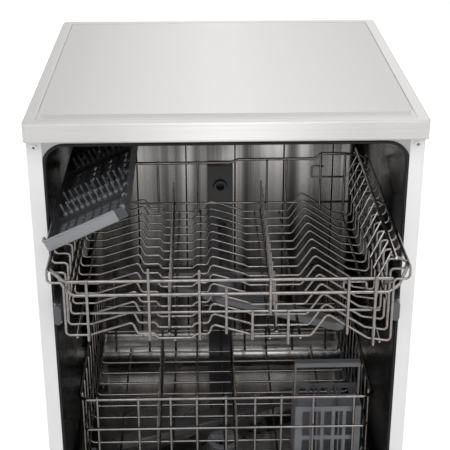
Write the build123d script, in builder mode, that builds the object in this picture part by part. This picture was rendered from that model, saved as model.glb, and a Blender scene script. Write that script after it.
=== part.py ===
from build123d import *
from math import cos, radians, sin
import os

os.makedirs("parts", exist_ok=True)

# Free-standing dishwasher with its door open and its upper basket drawn out.
# Millimetres, +Z up, +Y into the cabinet. The origin is on the floor under the middle of the whole.

# Overall sizes of the cabinet
total_height = 850
worktop_width = 600
body_depth = 573
worktop_thickness = 30
worktop_overhang = 25
worktop_border = 18
worktop_front_border = 14
worktop_ledge = 5
body_margin = 1
post_width = 22.6
panel_sheet = 0.8
edge_fold = 20
seat = 0.3
fit_gap = 0.05
half_body = worktop_width / 2 - body_margin
inner_face = half_body - panel_sheet
body_top = total_height - worktop_thickness

# Hinge line and door
pivot_depth = 12
pivot_height = 112
door_top = body_top - 3
door_bottom = 100
door_face = 25
door_gap = 0.5
fascia_height = 117
door_wall = 2.5
liner_sheet = 0.8
liner_bottom = 128
liner_top = door_top - 0.8
liner_reach = 24
liner_half_width = half_body - 32
liner_start = 130
liner_end = door_top - 27
liner_corner = 34

# The post plane lies this far behind the origin, so that the open machine is centred on it
front = (door_top - pivot_height - pivot_depth - body_depth) / 2

# Tub, its seal and the latch
tub_half_width = half_body - 21
tub_floor = 124
tub_ceiling = body_top - 10.3
tub_back = body_depth - 53
tub_sheet = 1.2
tub_corner = 36
tub_floor_corner = 18
tub_back_corner = 48
flange_depth = 1
flange_clear_height = 135
seal_bottom = tub_floor + tub_floor_corner
seal_lip = 5
seal_depth = 11
latch_height = tub_ceiling + 4.8
latch_half_width = 12
latch_half_height = 1.5
latch_play = 1.1

# Base, feet and plinth
base_bottom = 30
base_top = 95
base_front = 46
base_back = body_depth - 17
base_wall = 3
base_half = inner_face - seat
foot_inset = 33
foot_depth_front = 85
foot_depth_back = base_back - 26
foot_pad = 18
foot_stem = 6

# Sump, filter and pumps
sump_depth = 265
sump_radius = 85
sump_wall = 3
sump_bottom = 66
filter_offset = 48
filter_radius = 25.5
cup_bottom = sump_bottom + 18
hub_radius = 13
arm_pin = 9
salt_x = -165
salt_depth = 140
salt_bore = 26

# Upper basket, drawn out
upper_home = 38
upper_out = 180
upper_depth = tub_back - 60
rim_half_width = tub_half_width - 17
wall_half_width = rim_half_width - 23
rim_height = tub_ceiling - 143.7
step_height = rim_height - 16
front_rail_heights = (rim_height - 14, rim_height - 33, rim_height - 65)
front_verticals = (33 - wall_half_width, -116, -44, 2, 34, 176, wall_half_width - 25)
groove_floor = rim_height - 109
middle_floor = groove_floor + 1
cup_floor = groove_floor + 7
rim_wire = 5
wire = 4
tine = 3.5
tine_rod = 2.5
upper_bays = 14
upper_pitch = upper_depth / upper_bays
rail_height = rim_height - 131
rail_web = tub_half_width - 12
rail_length = upper_depth - 133
rail_out = -22
rail_half_height = 17
rail_sheet = 1.2
cap_length = 8
roller_radius = 15.2
roller_spacing = 60
roller_inner = rail_web - 5.4
roller_width = 4
rod_x = rim_half_width - 21
rod_height = rim_height + 15
rod_radius = 3
rod_start = upper_home - upper_out + 4
rod_length = upper_depth - 12
prong_length = 43
prong_slope = 64
prong_count = 10
prong_pitch = (upper_depth - 10) / prong_count
prong_start = rod_start + 34
tray_x = -rim_half_width - 3
tray_height = rim_height + 6
tray_width = 131
tray_length = upper_depth - 76
tray_start = -79
tray_depth = 18
tray_gap = 4
tray_wall = 2
tray_front_wall = 4
tray_rows = (103, 151, 306)
tray_row_tines = 11
tray_row_pitch = 9.8
tray_tilt = 25
tray_tine = 21
tray_posts = (tray_start + 59, tray_start + tray_length - 55)
barrel_length = 16
upper_arm_height = groove_floor - 57
upper_arm_radius = 215
feed_height = upper_arm_height + 33
feed_radius = 9

# Lower basket, at home in the tub
lower_home = 45
lower_depth = tub_back - 75
lower_half_width = tub_half_width - 28
lower_floor = 172
lower_rim = 330
lower_levels = (210, 270)
lower_bays = 10
lower_end_bay = 22
lower_pitch = (lower_depth - 2 * lower_end_bay - 1) / lower_bays
wheel_radius = 17
wheel_width = 8
wheel_pin = 4
wheel_inner = lower_half_width - 3
wheel_height = tub_floor + wheel_radius + seat
lower_wall = lower_half_width - rim_wire / 2 - 1
wheel_depths = (lower_home + 75, lower_home + lower_depth - 70)
lower_arm_height = 146
lower_arm_radius = 225


def along(height):
    """Y on the open door of what stands at this height when it is shut."""
    return front + pivot_depth - (height - pivot_height)


def above(depth):
    """Z on the open door of what lies this far behind the posts when it is shut."""
    return pivot_height + depth - pivot_depth


def save(piece, name):
    """Label a finished piece and write it to its own file."""
    piece.label = name
    export_step(piece, "parts/" + name + ".step")


def save_group(pieces, name):
    """Write separate solids that make up one named node."""
    solids = [solid for piece in pieces for solid in piece.solids()]
    save(Compound(solids), name)


def divided(solids, planes):
    """The solids that are left when each one is cut at every plane in turn."""
    for plane in planes:
        solids = [half for solid in solids for half in split(solid, plane, keep=Keep.BOTH).solids()]
    return solids


def sheets(solids, low, high, low_half, high_half):
    """Pressed sheets cut along their bends: at two heights, and at both sides below and above the low one."""
    parted = []
    for solid in divided(solids, [Plane.XY.offset(low), Plane.XY.offset(high)]):
        half = low_half if solid.center().Z < low else high_half
        parted += divided([solid], [Plane.YZ.offset(-half), Plane.YZ.offset(half)])
    return parted


def bent_wire(points, across):
    """A wire with six flats and mitred bends that follows the points."""
    with BuildPart() as bent:
        with BuildLine() as route:
            Polyline(*points)
        with BuildSketch(Plane(origin=route.line @ 0, z_dir=route.line % 0)):
            RegularPolygon(radius=across / 2, side_count=6)
        sweep(transition=Transition.RIGHT)
    return bent.part


def straight_wires(starts, run, across):
    """Parallel straight wires that leave each start point along the same run."""
    made = []
    for start in starts:
        with BuildPart() as straight:
            with BuildSketch(Plane(origin=start, z_dir=run)):
                RegularPolygon(radius=across / 2, side_count=6)
            extrude(amount=Vector(*run).length)
        made.append(straight.part)
    return made


def round_bar(start, run, radius):
    """A round bar from the start point along the run."""
    with BuildPart() as bar:
        with BuildSketch(Plane(origin=start, z_dir=run)):
            Circle(radius)
        extrude(amount=Vector(*run).length)
    return bar.part


def box_between(low, high, mode=Mode.ADD):
    """A block between two corners, inside the part that is being built."""
    middle = [(a + b) / 2 for a, b in zip(low, high)]
    with Locations(Vector(*middle)):
        Box(high[0] - low[0], high[1] - low[1], high[2] - low[2], mode=mode)


# Cabinet: side panels with the front posts, folded from sheet
def side_panel(side):
    """One side sheet with its front post, top fold and rear fold, cut back above the plinth."""
    outer = side * half_body
    inner = side * inner_face
    fold = side * (half_body - edge_fold)
    post = side * (half_body - post_width)
    with BuildPart() as panel:
        with BuildSketch(Plane.YZ.offset(min(outer, inner))):
            with BuildLine():
                Polyline(
                    (front + base_front, base_bottom),
                    (front + body_depth, base_bottom),
                    (front + body_depth, body_top - seat),
                    (front, body_top - seat),
                    (front, flange_clear_height),
                    (front + base_front, base_top + panel_sheet),
                    close=True,
                )
            make_face()
        extrude(amount=panel_sheet)
        box_between(
            (min(post, outer), front, flange_clear_height),
            (max(post, outer), front + panel_sheet, body_top - seat),
        )
        box_between(
            (min(fold, outer), front, body_top - seat - panel_sheet),
            (max(fold, outer), front + body_depth, body_top - seat),
        )
        box_between(
            (min(fold, outer), front + body_depth - panel_sheet, base_bottom),
            (max(fold, outer), front + body_depth, body_top - seat),
        )
        with Locations(Plane(origin=(side * screw_x, front, screw_height), z_dir=(0, -1, 0))):
            Hole(screw_hole)
    return panel.part


screw_x = half_body - post_width / 2
screw_height = body_top - 16
screw_head = 4.5
screw_hole = 2.1
screw_shank = 1.9
save(side_panel(-1), "side_panel_left")
save(side_panel(1), "side_panel_right")

# Post screws: a domed head with a crossed recess and a plain shank
with BuildPart() as post_screws:
    for side in (-1, 1):
        spot = Plane(origin=(side * screw_x, front, screw_height), z_dir=(0, -1, 0))
        with BuildSketch(spot):
            Circle(screw_head)
        extrude(amount=2.2)
        with BuildSketch(spot):
            Circle(screw_shank)
        extrude(amount=-10)
        with BuildSketch(spot.offset(1.2)):
            Rectangle(5.5, 1.1, rotation=45)
            Rectangle(1.1, 5.5, rotation=45)
        extrude(amount=1, mode=Mode.SUBTRACT)
save(post_screws.part, "post_screws")

# Rear panel between the side sheets, with two pressed fields
rear_low = base_top + 3
rear_high = body_top - seat - panel_sheet - seat
rear_face = front + body_depth - panel_sheet - seat
field_width = 2 * half_body - 158
field_height = (rear_high - rear_low) / 3
field_press = 4
with BuildPart() as rear_panel:
    box_between(
        (-inner_face + seat, rear_face - panel_sheet, rear_low),
        (inner_face - seat, rear_face, rear_high),
    )
    for level in (0.3, 0.7):
        middle = rear_low + (rear_high - rear_low) * level
        with BuildSketch(Plane.XZ.offset(-(rear_face - panel_sheet))):
            with Locations((0, middle)):
                Rectangle(field_width, field_height)
        extrude(amount=field_press, taper=20)
        with BuildSketch(Plane.XZ.offset(-rear_face)):
            with Locations((0, middle)):
                Rectangle(field_width - 2 * panel_sheet, field_height - 2 * panel_sheet)
        extrude(amount=field_press, taper=20, mode=Mode.SUBTRACT)
save(rear_panel.part, "rear_panel")

# Worktop: moulded frame with a ledge, and the board that lies in it
worktop_front = front - worktop_overhang
worktop_back = front + body_depth
opening_half = worktop_width / 2 - worktop_border
opening_front = worktop_front + worktop_front_border
opening_back = worktop_back - worktop_border
with BuildPart() as worktop_frame:
    with BuildSketch(Plane.XY.offset(body_top)):
        with Locations((0, (worktop_front + worktop_back) / 2)):
            RectangleRounded(worktop_width, worktop_back - worktop_front, 7)
    extrude(amount=worktop_thickness)
    chamfer(edges().group_by(Axis.Z)[-1], 1.5)
    box_between(
        (-opening_half, opening_front, body_top + worktop_ledge),
        (opening_half, opening_back, total_height),
        mode=Mode.SUBTRACT,
    )
    box_between(
        (-opening_half + 12, opening_front + 12, body_top),
        (opening_half - 12, opening_back - 12, total_height),
        mode=Mode.SUBTRACT,
    )
save(worktop_frame.part, "worktop_frame")

with BuildPart() as worktop_board:
    box_between(
        (-opening_half + seat, opening_front + seat, body_top + worktop_ledge),
        (opening_half - seat, opening_back - seat, total_height - 0.6),
    )
    chamfer(worktop_board.edges().group_by(Axis.Z)[-1], 0.6)
save(worktop_board.part, "worktop_board")


# Tub: a pressed form with a large radius at the back of its floor
def tub_form(grow):
    """The tub's cavity as the common part of its three outlines, grown by a wall."""
    half = tub_half_width + grow
    low = tub_floor - grow
    high = tub_ceiling + grow
    back = front + tub_back + grow
    start = front + flange_depth
    with BuildPart() as form:
        with BuildSketch(Plane.XZ.offset(-start)):
            with Locations((0, (low + high) / 2)):
                Rectangle(2 * half, high - low)
            fillet(vertices().group_by(Axis.Y)[-1], tub_corner + grow)
            fillet(vertices().group_by(Axis.Y)[0], tub_floor_corner + grow)
        extrude(amount=-(back - start))
        with BuildSketch(Plane.YZ.offset(-half)):
            with Locations(((start + back) / 2, (low + high) / 2)):
                Rectangle(back - start, high - low)
            fillet(vertices().group_by(Axis.X)[-1], tub_back_corner + grow)
        extrude(amount=2 * half, mode=Mode.INTERSECT)
        with BuildSketch(Plane.XY.offset(low)):
            with Locations((0, (start + back) / 2)):
                Rectangle(2 * half, back - start)
            fillet(vertices().group_by(Axis.Y)[-1], tub_corner + grow)
        extrude(amount=high - low, mode=Mode.INTERSECT)
    return form.part


tub_inside = tub_form(0)
tub_outside = tub_form(tub_sheet)
with BuildPart() as tub:
    add(tub_outside)
    box_between(
        (-inner_face + seat, front + flange_depth, flange_clear_height),
        (inner_face - seat, front + flange_depth + tub_sheet, body_top - 1.5),
    )
    box_between(
        (-tub_half_width - 2, front + flange_depth, pivot_height - 8),
        (tub_half_width + 2, front + flange_depth + tub_sheet, flange_clear_height),
    )
    add(tub_inside, mode=Mode.SUBTRACT)
    box_between(
        (-latch_half_width - 2, front, latch_height - latch_half_height - latch_play),
        (latch_half_width + 2, front + 4, latch_height + latch_half_height + latch_play),
        mode=Mode.SUBTRACT,
    )
    with BuildSketch(Plane.XY.offset(tub_floor - 2 * tub_sheet)):
        with Locations((0, front + sump_depth)):
            Circle(sump_radius + 1)
        with Locations((salt_x, front + salt_depth)):
            Circle(salt_bore + 5)
    extrude(amount=4 * tub_sheet, mode=Mode.SUBTRACT)
    for side in (-1, 1):
        with Locations(Plane(origin=(side * screw_x, front, screw_height), z_dir=(0, -1, 0))):
            Hole(screw_hole, depth=6)

# The flange, the walls and the back are cut into plain plates and plain bends, welded edge to edge
flange_back = front + flange_depth + tub_sheet
walls_back = front + tub_back - tub_back_corner
side_bend = tub_half_width - tub_corner
floor_bend = tub_half_width - tub_floor_corner
top_bend = tub_ceiling - tub_corner
blanks = divided([tub.part], [Plane.XZ.offset(-flange_back), Plane.XZ.offset(-walls_back)])
before_back = [blank for blank in blanks if blank.center().Y < walls_back]
behind = [blank for blank in blanks if blank.center().Y > walls_back]
tub_sheets = sheets(before_back, seal_bottom, top_bend, floor_bend, side_bend)
tub_sheets += sheets(behind, tub_floor + tub_back_corner, tub_ceiling - tub_back_corner, side_bend, side_bend)
floor_plate = max(tub_sheets, key=lambda sheet: sheet.bounding_box().size.X * sheet.bounding_box().size.Y)
latch_strip = max(tub_sheets, key=lambda sheet: sheet.center().Z - sheet.center().Y)
tub_sheets.remove(floor_plate)
tub_sheets.remove(latch_strip)
tub_sheets += divided(
    [floor_plate],
    [
        Plane.YZ.offset(0),
        Plane.YZ.offset(salt_x),
        Plane.XZ.offset(-(front + sump_depth)),
        Plane.XZ.offset(-(front + salt_depth)),
    ],
)
tub_sheets += divided([latch_strip], [Plane.YZ.offset(side * (latch_half_width + 2)) for side in (-1, 1)])
save_group(tub_sheets, "tub")

# Door seal: a lip round the top and both sides of the opening
seal_half = tub_half_width - seat
seal_top = tub_ceiling - seat
seal_front = front + flange_depth + 0.1
with BuildPart() as door_seal:
    with BuildSketch(Plane.XZ.offset(-seal_front)):
        with Locations((0, (seal_bottom + seal_top) / 2)):
            Rectangle(2 * seal_half, seal_top - seal_bottom)
        fillet(vertices().group_by(Axis.Y)[-1], tub_corner - seat)
    extrude(amount=-seal_depth)
    with BuildSketch(Plane.XZ.offset(-seal_front)) as seal_hole:
        with Locations((0, (seal_bottom - 40 + seal_top - seal_lip) / 2)):
            Rectangle(2 * (seal_half - seal_lip), seal_top - seal_lip - seal_bottom + 40)
        fillet(vertices().group_by(Axis.Y)[-1], tub_corner - seat - seal_lip)
    extrude(amount=-seal_depth, mode=Mode.SUBTRACT)

# Threshold seal: a lip with a slanted top along the front of the tub's floor
with BuildPart() as threshold_seal:
    with BuildSketch(Plane.YZ.offset(-tub_half_width + 6)):
        with BuildLine():
            Polyline(
                (front + flange_depth - seat, pivot_height - 6),
                (front + flange_depth - seat, pivot_height + 7),
                (front + flange_depth - 3.5, pivot_height + 3),
                (front + flange_depth - 3.5, pivot_height - 6),
                close=True,
            )
        make_face()
    extrude(amount=2 * (tub_half_width - 6))
seal_lengths = sheets([door_seal.part], seal_bottom - 1, seal_top - tub_corner, seal_half, seal_half - tub_corner)
save_group([*seal_lengths, threshold_seal.part], "door_seals")

# Latch striker behind the slot in the tub's flange
with BuildPart() as latch_striker:
    box_between(
        (-latch_half_width - 6, front + flange_depth + tub_sheet, tub_ceiling + tub_sheet + seat),
        (latch_half_width + 6, front + 28, body_top - 0.5),
    )
    box_between(
        (-latch_half_width - 1, front, latch_height - latch_half_height - latch_play),
        (latch_half_width + 1, front + 22, latch_height + latch_half_height + latch_play),
        mode=Mode.SUBTRACT,
    )
save(latch_striker.part, "latch_striker")

# Base tray: a moulded pan with four foot bosses and holes for the connections
feet_spots = [
    (x, front + depth)
    for depth in (foot_depth_front, foot_depth_back)
    for x in (-half_body + foot_inset, half_body - foot_inset)
]
inlet_x = -180
drain_x = 170
cable_x = 232
connection_height = 62
inlet_radius = 13.2
inlet_neck = inlet_radius + 2.5
drain_radius = 9.5
drain_neck = drain_radius + 2.5
neck_end = base_back + 1
valve_face = base_back - base_wall - seat
cable_bush = 8
cable_bore = 4
bush_flange = 5.7
bush_length = 12
foot_boss = 28
with BuildPart() as base_tray:
    with BuildSketch(Plane.XY.offset(base_bottom)):
        with Locations((0, front + (base_front + base_back) / 2)):
            Rectangle(2 * base_half, base_back - base_front)
    extrude(amount=base_top - base_bottom)
    offset(amount=-base_wall, openings=base_tray.faces().sort_by(Axis.Z)[-1])
    with BuildSketch(Plane.XY.offset(base_bottom)):
        with Locations(*feet_spots):
            Rectangle(foot_boss, foot_boss)
    extrude(amount=base_top - base_bottom - 1)
    with Locations(*[(x, y, base_top) for x, y in feet_spots]):
        Hole(foot_stem + fit_gap)
    for x, radius in ((inlet_x, inlet_neck), (drain_x, drain_neck), (cable_x, cable_bush)):
        with BuildSketch(Plane.XZ.offset(-(front + base_back - 2 * base_wall))):
            with Locations((x, connection_height)):
                Circle(radius + seat)
        extrude(amount=-4 * base_wall, mode=Mode.SUBTRACT)
save(base_tray.part, "base_tray")


# Feet: a pad, a hexagon for the spanner and a stem in the base's boss
def foot(spot):
    """One foot, fully screwed in."""
    with BuildPart() as made:
        with BuildSketch(Plane.XY):
            with Locations(spot):
                Circle(foot_pad)
        extrude(amount=7, taper=8)
        with BuildSketch(Plane.XY.offset(7)):
            with Locations(spot):
                RegularPolygon(11, 6)
        extrude(amount=8)
        with BuildSketch(Plane.XY.offset(15)):
            with Locations(spot):
                Circle(foot_stem)
        extrude(amount=base_top - 5 - 15)
    return made.part


foot_names = ("foot_front_left", "foot_front_right", "foot_rear_left", "foot_rear_right")
for foot_name, foot_spot in zip(foot_names, feet_spots):
    save(foot(foot_spot), foot_name)

# Plinth: a folded kick plate before the base
with BuildPart() as plinth:
    box_between(
        (-base_half, front + base_front - seat - 1.2, 8),
        (base_half, front + base_front - seat, base_top + 1),
    )
    box_between(
        (-base_half, front + base_front - seat - 12, 8),
        (base_half, front + base_front - seat, 9.2),
    )
save(plinth.part, "plinth")

# Hinge brackets, screwed to the base's side walls
arm_inner = half_body - 13.5
arm_thick = 3
bracket_inner = half_body - 9.5
bracket_sheet = 2
pin_radius = 4
nose_radius = 14
brackets = []
for side in (-1, 1):
    low_x = bracket_inner if side > 0 else -bracket_inner - bracket_sheet
    with BuildPart() as bracket:
        with BuildSketch(Plane.YZ.offset(low_x)):
            with Locations((front + pivot_depth, pivot_height)):
                Circle(nose_radius)
            with Locations((front + (pivot_depth + 90) / 2, pivot_height)):
                Rectangle(90 - pivot_depth, 2 * nose_radius)
            with Locations((front + 73, base_top - 13)):
                Rectangle(34, 40)
        extrude(amount=bracket_sheet)
        pad = (bracket_inner, base_half - base_wall - seat)
        box_between(
            (min(side * pad[0], side * pad[1]), front + 58, base_top - 31),
            (max(side * pad[0], side * pad[1]), front + 88, base_top - 3),
        )
        with BuildSketch(Plane.YZ.offset(low_x - 1)):
            with Locations((front + pivot_depth, pivot_height)):
                Circle(pin_radius + fit_gap)
        extrude(amount=bracket_sheet + 2, mode=Mode.SUBTRACT)
    brackets.append(bracket.part)
save_group(brackets, "hinge_brackets")

# Hinge arms of the door, each with its pin
arms = []
for side in (-1, 1):
    low_x = arm_inner if side > 0 else -arm_inner - arm_thick
    bar_top = above(-door_gap - liner_sheet) - seat
    with BuildPart() as arm:
        with BuildSketch(Plane.YZ.offset(low_x)):
            with Locations((front + pivot_depth, pivot_height)):
                Circle(11)
            with BuildLine():
                Polyline(
                    (front - 180, bar_top - 14),
                    (front + 14, bar_top - 14),
                    (front + pivot_depth + 10, pivot_height),
                    (front + 3, pivot_height),
                    (front - 1, bar_top),
                    (front - 180, bar_top),
                    close=True,
                )
            make_face()
        extrude(amount=arm_thick)
        with BuildSketch(Plane.YZ.offset(side * arm_inner)):
            with Locations((front + pivot_depth, pivot_height)):
                Circle(pin_radius)
        extrude(amount=side * (bracket_inner + bracket_sheet + 1.5 - arm_inner))
    arms.append(arm.part)
save_group(arms, "hinge_arms")

# Door springs along the base's side walls, closely wound, with a hook at each end
springs = []
spring_x = base_half - base_wall - 9
for side in (-1, 1):
    springs.append(round_bar((side * spring_x, front + 130, 52), (0, 210, 0), 7))
    springs += straight_wires(
        [(side * spring_x, front + 100, 52), (side * spring_x, front + 340, 52)], (0, 30, 0), 3
    )
    with BuildPart() as hook_post:
        for depth in (97, 370):
            box_between(
                (side * spring_x - 4, front + depth, base_bottom + base_wall),
                (side * spring_x + 4, front + depth + 3, 62),
            )
    springs.append(hook_post.part)
save_group(springs, "door_springs")

# Sump: a bowl under the tub's floor with the spray arm's hub and two outlets
sump_rim = tub_floor - tub_sheet - seat
pump_start = 118
drain_start = 98
pump_height = 80
outlet_height = pump_height + 16
bowl_radius = sump_radius - 5
with BuildPart() as sump:
    with BuildSketch(Plane(origin=(0, front + sump_depth, 0), x_dir=(1, 0, 0), z_dir=(0, -1, 0))):
        with BuildLine():
            Polyline(
                (0, sump_bottom),
                (bowl_radius, sump_bottom),
                (bowl_radius, sump_rim - sump_wall),
                (sump_radius + 14, sump_rim - sump_wall),
                (sump_radius + 14, sump_rim),
                (bowl_radius - sump_wall, sump_rim),
                (bowl_radius - sump_wall, sump_bottom + sump_wall),
                (hub_radius, sump_bottom + sump_wall),
                (hub_radius, lower_arm_height - 3),
                (arm_pin, lower_arm_height - 3),
                (arm_pin, lower_arm_height + 14),
                (0, lower_arm_height + 14),
                close=True,
            )
        make_face()
    revolve(axis=Axis((0, front + sump_depth, 0), (0, 0, 1)))
    for side, length, radius in ((1, pump_start - bowl_radius, 17), (-1, drain_start - bowl_radius, 11)):
        with BuildSketch(Plane.YZ.offset(side * (bowl_radius - sump_wall / 2))):
            with Locations((front + sump_depth, outlet_height)):
                Circle(radius)
        extrude(amount=side * (length + sump_wall / 2))
save(sump.part, "sump")

# Filter plate: a fine perforated disc with holes for the hub and the filter cup
with BuildPart() as filter_plate:
    with BuildSketch(Plane.XY.offset(sump_rim + seat)):
        with Locations((0, front + sump_depth)):
            Circle(sump_radius)
            Circle(hub_radius + 1, mode=Mode.SUBTRACT)
        with Locations((0, front + sump_depth - filter_offset)):
            Circle(filter_radius + 1, mode=Mode.SUBTRACT)
        with Locations((0, front + sump_depth)):
            with PolarLocations((sump_radius + 44) / 2, 14, start_angle=5):
                Rectangle(26, 5, mode=Mode.SUBTRACT)
    extrude(amount=1)
save(filter_plate.part, "filter_plate")

# Filter cup: a strainer of twelve flats with a slot in each, a round rim and a grip rib
cup_axis = (0, front + sump_depth - filter_offset)
cup_rim_low = sump_rim + seat + 1 + seat
cup_flats = 12
with BuildPart() as filter_cup:
    with BuildSketch(Plane.XY.offset(cup_bottom)):
        with Locations(cup_axis):
            RegularPolygon(filter_radius - 1.5, cup_flats)
    extrude(amount=cup_rim_low - cup_bottom)
    with BuildSketch(Plane.XY.offset(cup_rim_low)):
        with Locations(cup_axis):
            Circle(filter_radius + 6)
    extrude(amount=3)
    with BuildSketch(Plane.XY.offset(cup_bottom + 2)):
        with Locations(cup_axis):
            RegularPolygon(filter_radius - 4, cup_flats)
    extrude(amount=cup_rim_low + 3 - cup_bottom, mode=Mode.SUBTRACT)
    with BuildSketch(Plane.XY.offset(cup_bottom + 6)):
        with Locations(cup_axis):
            with PolarLocations(filter_radius - 3, cup_flats, start_angle=15):
                Rectangle(6, 6)
    extrude(amount=cup_rim_low - cup_bottom - 12, mode=Mode.SUBTRACT)
    with BuildSketch(Plane.XY.offset(cup_rim_low)):
        with Locations(cup_axis):
            Rectangle(2 * filter_radius - 2, 3)
    extrude(amount=12)
save(filter_cup.part, "filter_cup")

# Circulation pump: volute, motor can and a cradle on the base
pump_cradle = base_bottom + base_wall
pump_volute = 30
with BuildPart() as circulation_pump:
    with BuildSketch(Plane.YZ.offset(pump_start + seat)):
        with Locations((front + sump_depth, pump_height)):
            Circle(40)
    extrude(amount=pump_volute)
    with BuildSketch(Plane.YZ.offset(pump_start + seat + pump_volute)):
        with Locations((front + sump_depth, pump_height)):
            Circle(34)
    extrude(amount=88)
    box_between(
        (160, front + sump_depth - 24, pump_cradle),
        (225, front + sump_depth + 24, pump_height - 20),
    )
save(circulation_pump.part, "circulation_pump")

# Drain pump on the other side of the sump
drain_height = pump_height + 10
with BuildPart() as drain_pump:
    with BuildSketch(Plane.YZ.offset(-drain_start - seat)):
        with Locations((front + sump_depth, drain_height)):
            Circle(27)
    extrude(amount=-22)
    with BuildSketch(Plane.YZ.offset(-drain_start - seat - 22)):
        with Locations((front + sump_depth, drain_height)):
            Circle(22)
    extrude(amount=-52)
    box_between(
        (-drain_start - 64, front + sump_depth - 15, pump_cradle),
        (-drain_start - 30, front + sump_depth + 15, pump_height),
    )
save(drain_pump.part, "drain_pump")

# Salt container of the softener, with its neck through the tub's floor
salt_body = 78
with BuildPart() as salt_container:
    with BuildSketch(Plane.XY.offset(pump_cradle)):
        with Locations((salt_x, front + salt_depth)):
            Rectangle(120, 110)
    extrude(amount=salt_body)
    with BuildSketch(Plane.XY.offset(pump_cradle + salt_body)):
        with Locations((salt_x, front + salt_depth)):
            Circle(salt_bore + 4)
    extrude(amount=tub_floor - pump_cradle - salt_body)
    with BuildSketch(Plane.XY.offset(pump_cradle + base_wall)):
        with Locations((salt_x, front + salt_depth)):
            Circle(salt_bore)
    extrude(amount=tub_floor - pump_cradle, mode=Mode.SUBTRACT)
save(salt_container.part, "salt_container")

with BuildPart() as salt_cap:
    with BuildSketch(Plane.XY.offset(tub_floor + seat)):
        with Locations((salt_x, front + salt_depth)):
            Circle(salt_bore + 5)
    extrude(amount=5)
    with BuildSketch(Plane.XY.offset(tub_floor + seat)):
        with Locations((salt_x, front + salt_depth)):
            Circle(salt_bore - fit_gap)
    extrude(amount=-14)
    with BuildSketch(Plane.XY.offset(tub_floor + seat + 5)):
        with Locations((salt_x, front + salt_depth)):
            Rectangle(44, 5)
            Rectangle(5, 44)
    extrude(amount=6)
save(salt_cap.part, "salt_cap")

# Inlet valve with its threaded stub, drain connector and cable bush in the base's rear wall
def connector(x, half_width, length, radius, neck_radius):
    """A body inside the base, a neck through its rear wall and an open stub that ends at the back."""
    with BuildPart() as made:
        box_between(
            (x - half_width, front + base_back - length, pump_cradle),
            (x + half_width, front + valve_face, connection_height + half_width),
        )
        with BuildSketch(Plane.XZ.offset(-(front + valve_face))):
            with Locations((x, connection_height)):
                Circle(neck_radius)
        extrude(amount=-(neck_end - valve_face))
        with BuildSketch(Plane.XZ.offset(-(front + neck_end))):
            with Locations((x, connection_height)):
                Circle(radius)
        extrude(amount=-(body_depth - neck_end))
        with BuildSketch(Plane.XZ.offset(-(front + body_depth))):
            with Locations((x, connection_height)):
                Circle(radius - 3)
        extrude(amount=12, mode=Mode.SUBTRACT)
    return made.part


save(connector(inlet_x, 20, 50, inlet_radius, inlet_neck), "inlet_valve")
save(connector(drain_x, 16, 40, drain_radius, drain_neck), "drain_connector")

with BuildPart() as cable_inlet:
    with BuildSketch(Plane.XZ.offset(-(front + valve_face - bush_flange))):
        with Locations((cable_x, connection_height)):
            Circle(cable_bush)
    extrude(amount=-bush_length)
    with BuildSketch(Plane.XZ.offset(-(front + valve_face - bush_flange))):
        with Locations((cable_x, connection_height)):
            Circle(cable_bush + 4)
    extrude(amount=-bush_flange)
    with BuildSketch(Plane.XZ.offset(-(front + valve_face - bush_flange))):
        with Locations((cable_x, connection_height)):
            Circle(cable_bore)
    extrude(amount=-bush_length, mode=Mode.SUBTRACT)
save(cable_inlet.part, "cable_inlet")

# Water duct along the tub's floor and up its rear wall, with the port that the feed pipe docks against
duct_front = tub_back - 15.5
duct_top = feed_height + 42
duct_width = 50
duct_start = sump_depth + sump_radius + 6
duct_thick = tub_back - seat - duct_front
duct_bend = tub_back_corner - seat - duct_thick / 2
bend_y = front + tub_back - tub_back_corner
bend_z = tub_floor + tub_back_corner
with BuildPart() as water_duct:
    with BuildLine(Plane.YZ) as duct_route:
        Line((front + duct_start, bend_z - duct_bend), (bend_y, bend_z - duct_bend))
        CenterArc((bend_y, bend_z), duct_bend, -90, 90)
        Line((bend_y + duct_bend, bend_z), (bend_y + duct_bend, duct_top))
    with BuildSketch(Plane(origin=duct_route.line @ 0, x_dir=(1, 0, 0), z_dir=duct_route.line % 0)):
        Rectangle(duct_width, duct_thick)
    sweep()
    with BuildSketch(Plane.XZ.offset(-(front + duct_front + 2))):
        with Locations((0, feed_height)):
            Circle(14)
    extrude(amount=10, taper=10)
    with BuildSketch(Plane.XZ.offset(-(front + duct_front - 8))):
        with Locations((0, feed_height)):
            Circle(8)
    extrude(amount=-18, mode=Mode.SUBTRACT)
save(water_duct.part, "water_duct")

# Rail carriers screwed to the tub's side walls, two on each side
carriers = []
carrier_depths = (rail_out + rail_length - 115, rail_out + rail_length - 30)
for side in (-1, 1):
    for depth in carrier_depths:
        with BuildPart() as carrier:
            near = rail_web + rail_sheet / 2 + seat
            wall = tub_half_width - seat
            box_between(
                (min(side * near, side * wall), front + depth, rail_height - roller_radius),
                (max(side * near, side * wall), front + depth + 25, rail_height + roller_radius),
            )
            edge = rail_web + 6 + seat
            box_between(
                (min(side * edge, side * wall), front + depth - 4, rail_height - 24),
                (max(side * edge, side * wall), front + depth + 29, rail_height + 24),
            )
        carriers.append(carrier.part)
save_group(carriers, "rail_carriers")

# Upper runner rails: a web with a channel on each face
rails = []
for side in (-1, 1):
    with BuildPart() as rail:
        with BuildSketch(Plane.XZ.offset(-(front + rail_out))):
            with Locations((side * rail_web, rail_height)):
                Rectangle(rail_sheet, 2 * rail_half_height)
            with Locations(
                (side * rail_web, rail_height + rail_half_height - rail_sheet / 2),
                (side * rail_web, rail_height - rail_half_height + rail_sheet / 2),
            ):
                Rectangle(12, rail_sheet)
        extrude(amount=-rail_length)
    rails.append(rail.part)
save_group(rails, "upper_rails")

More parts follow.
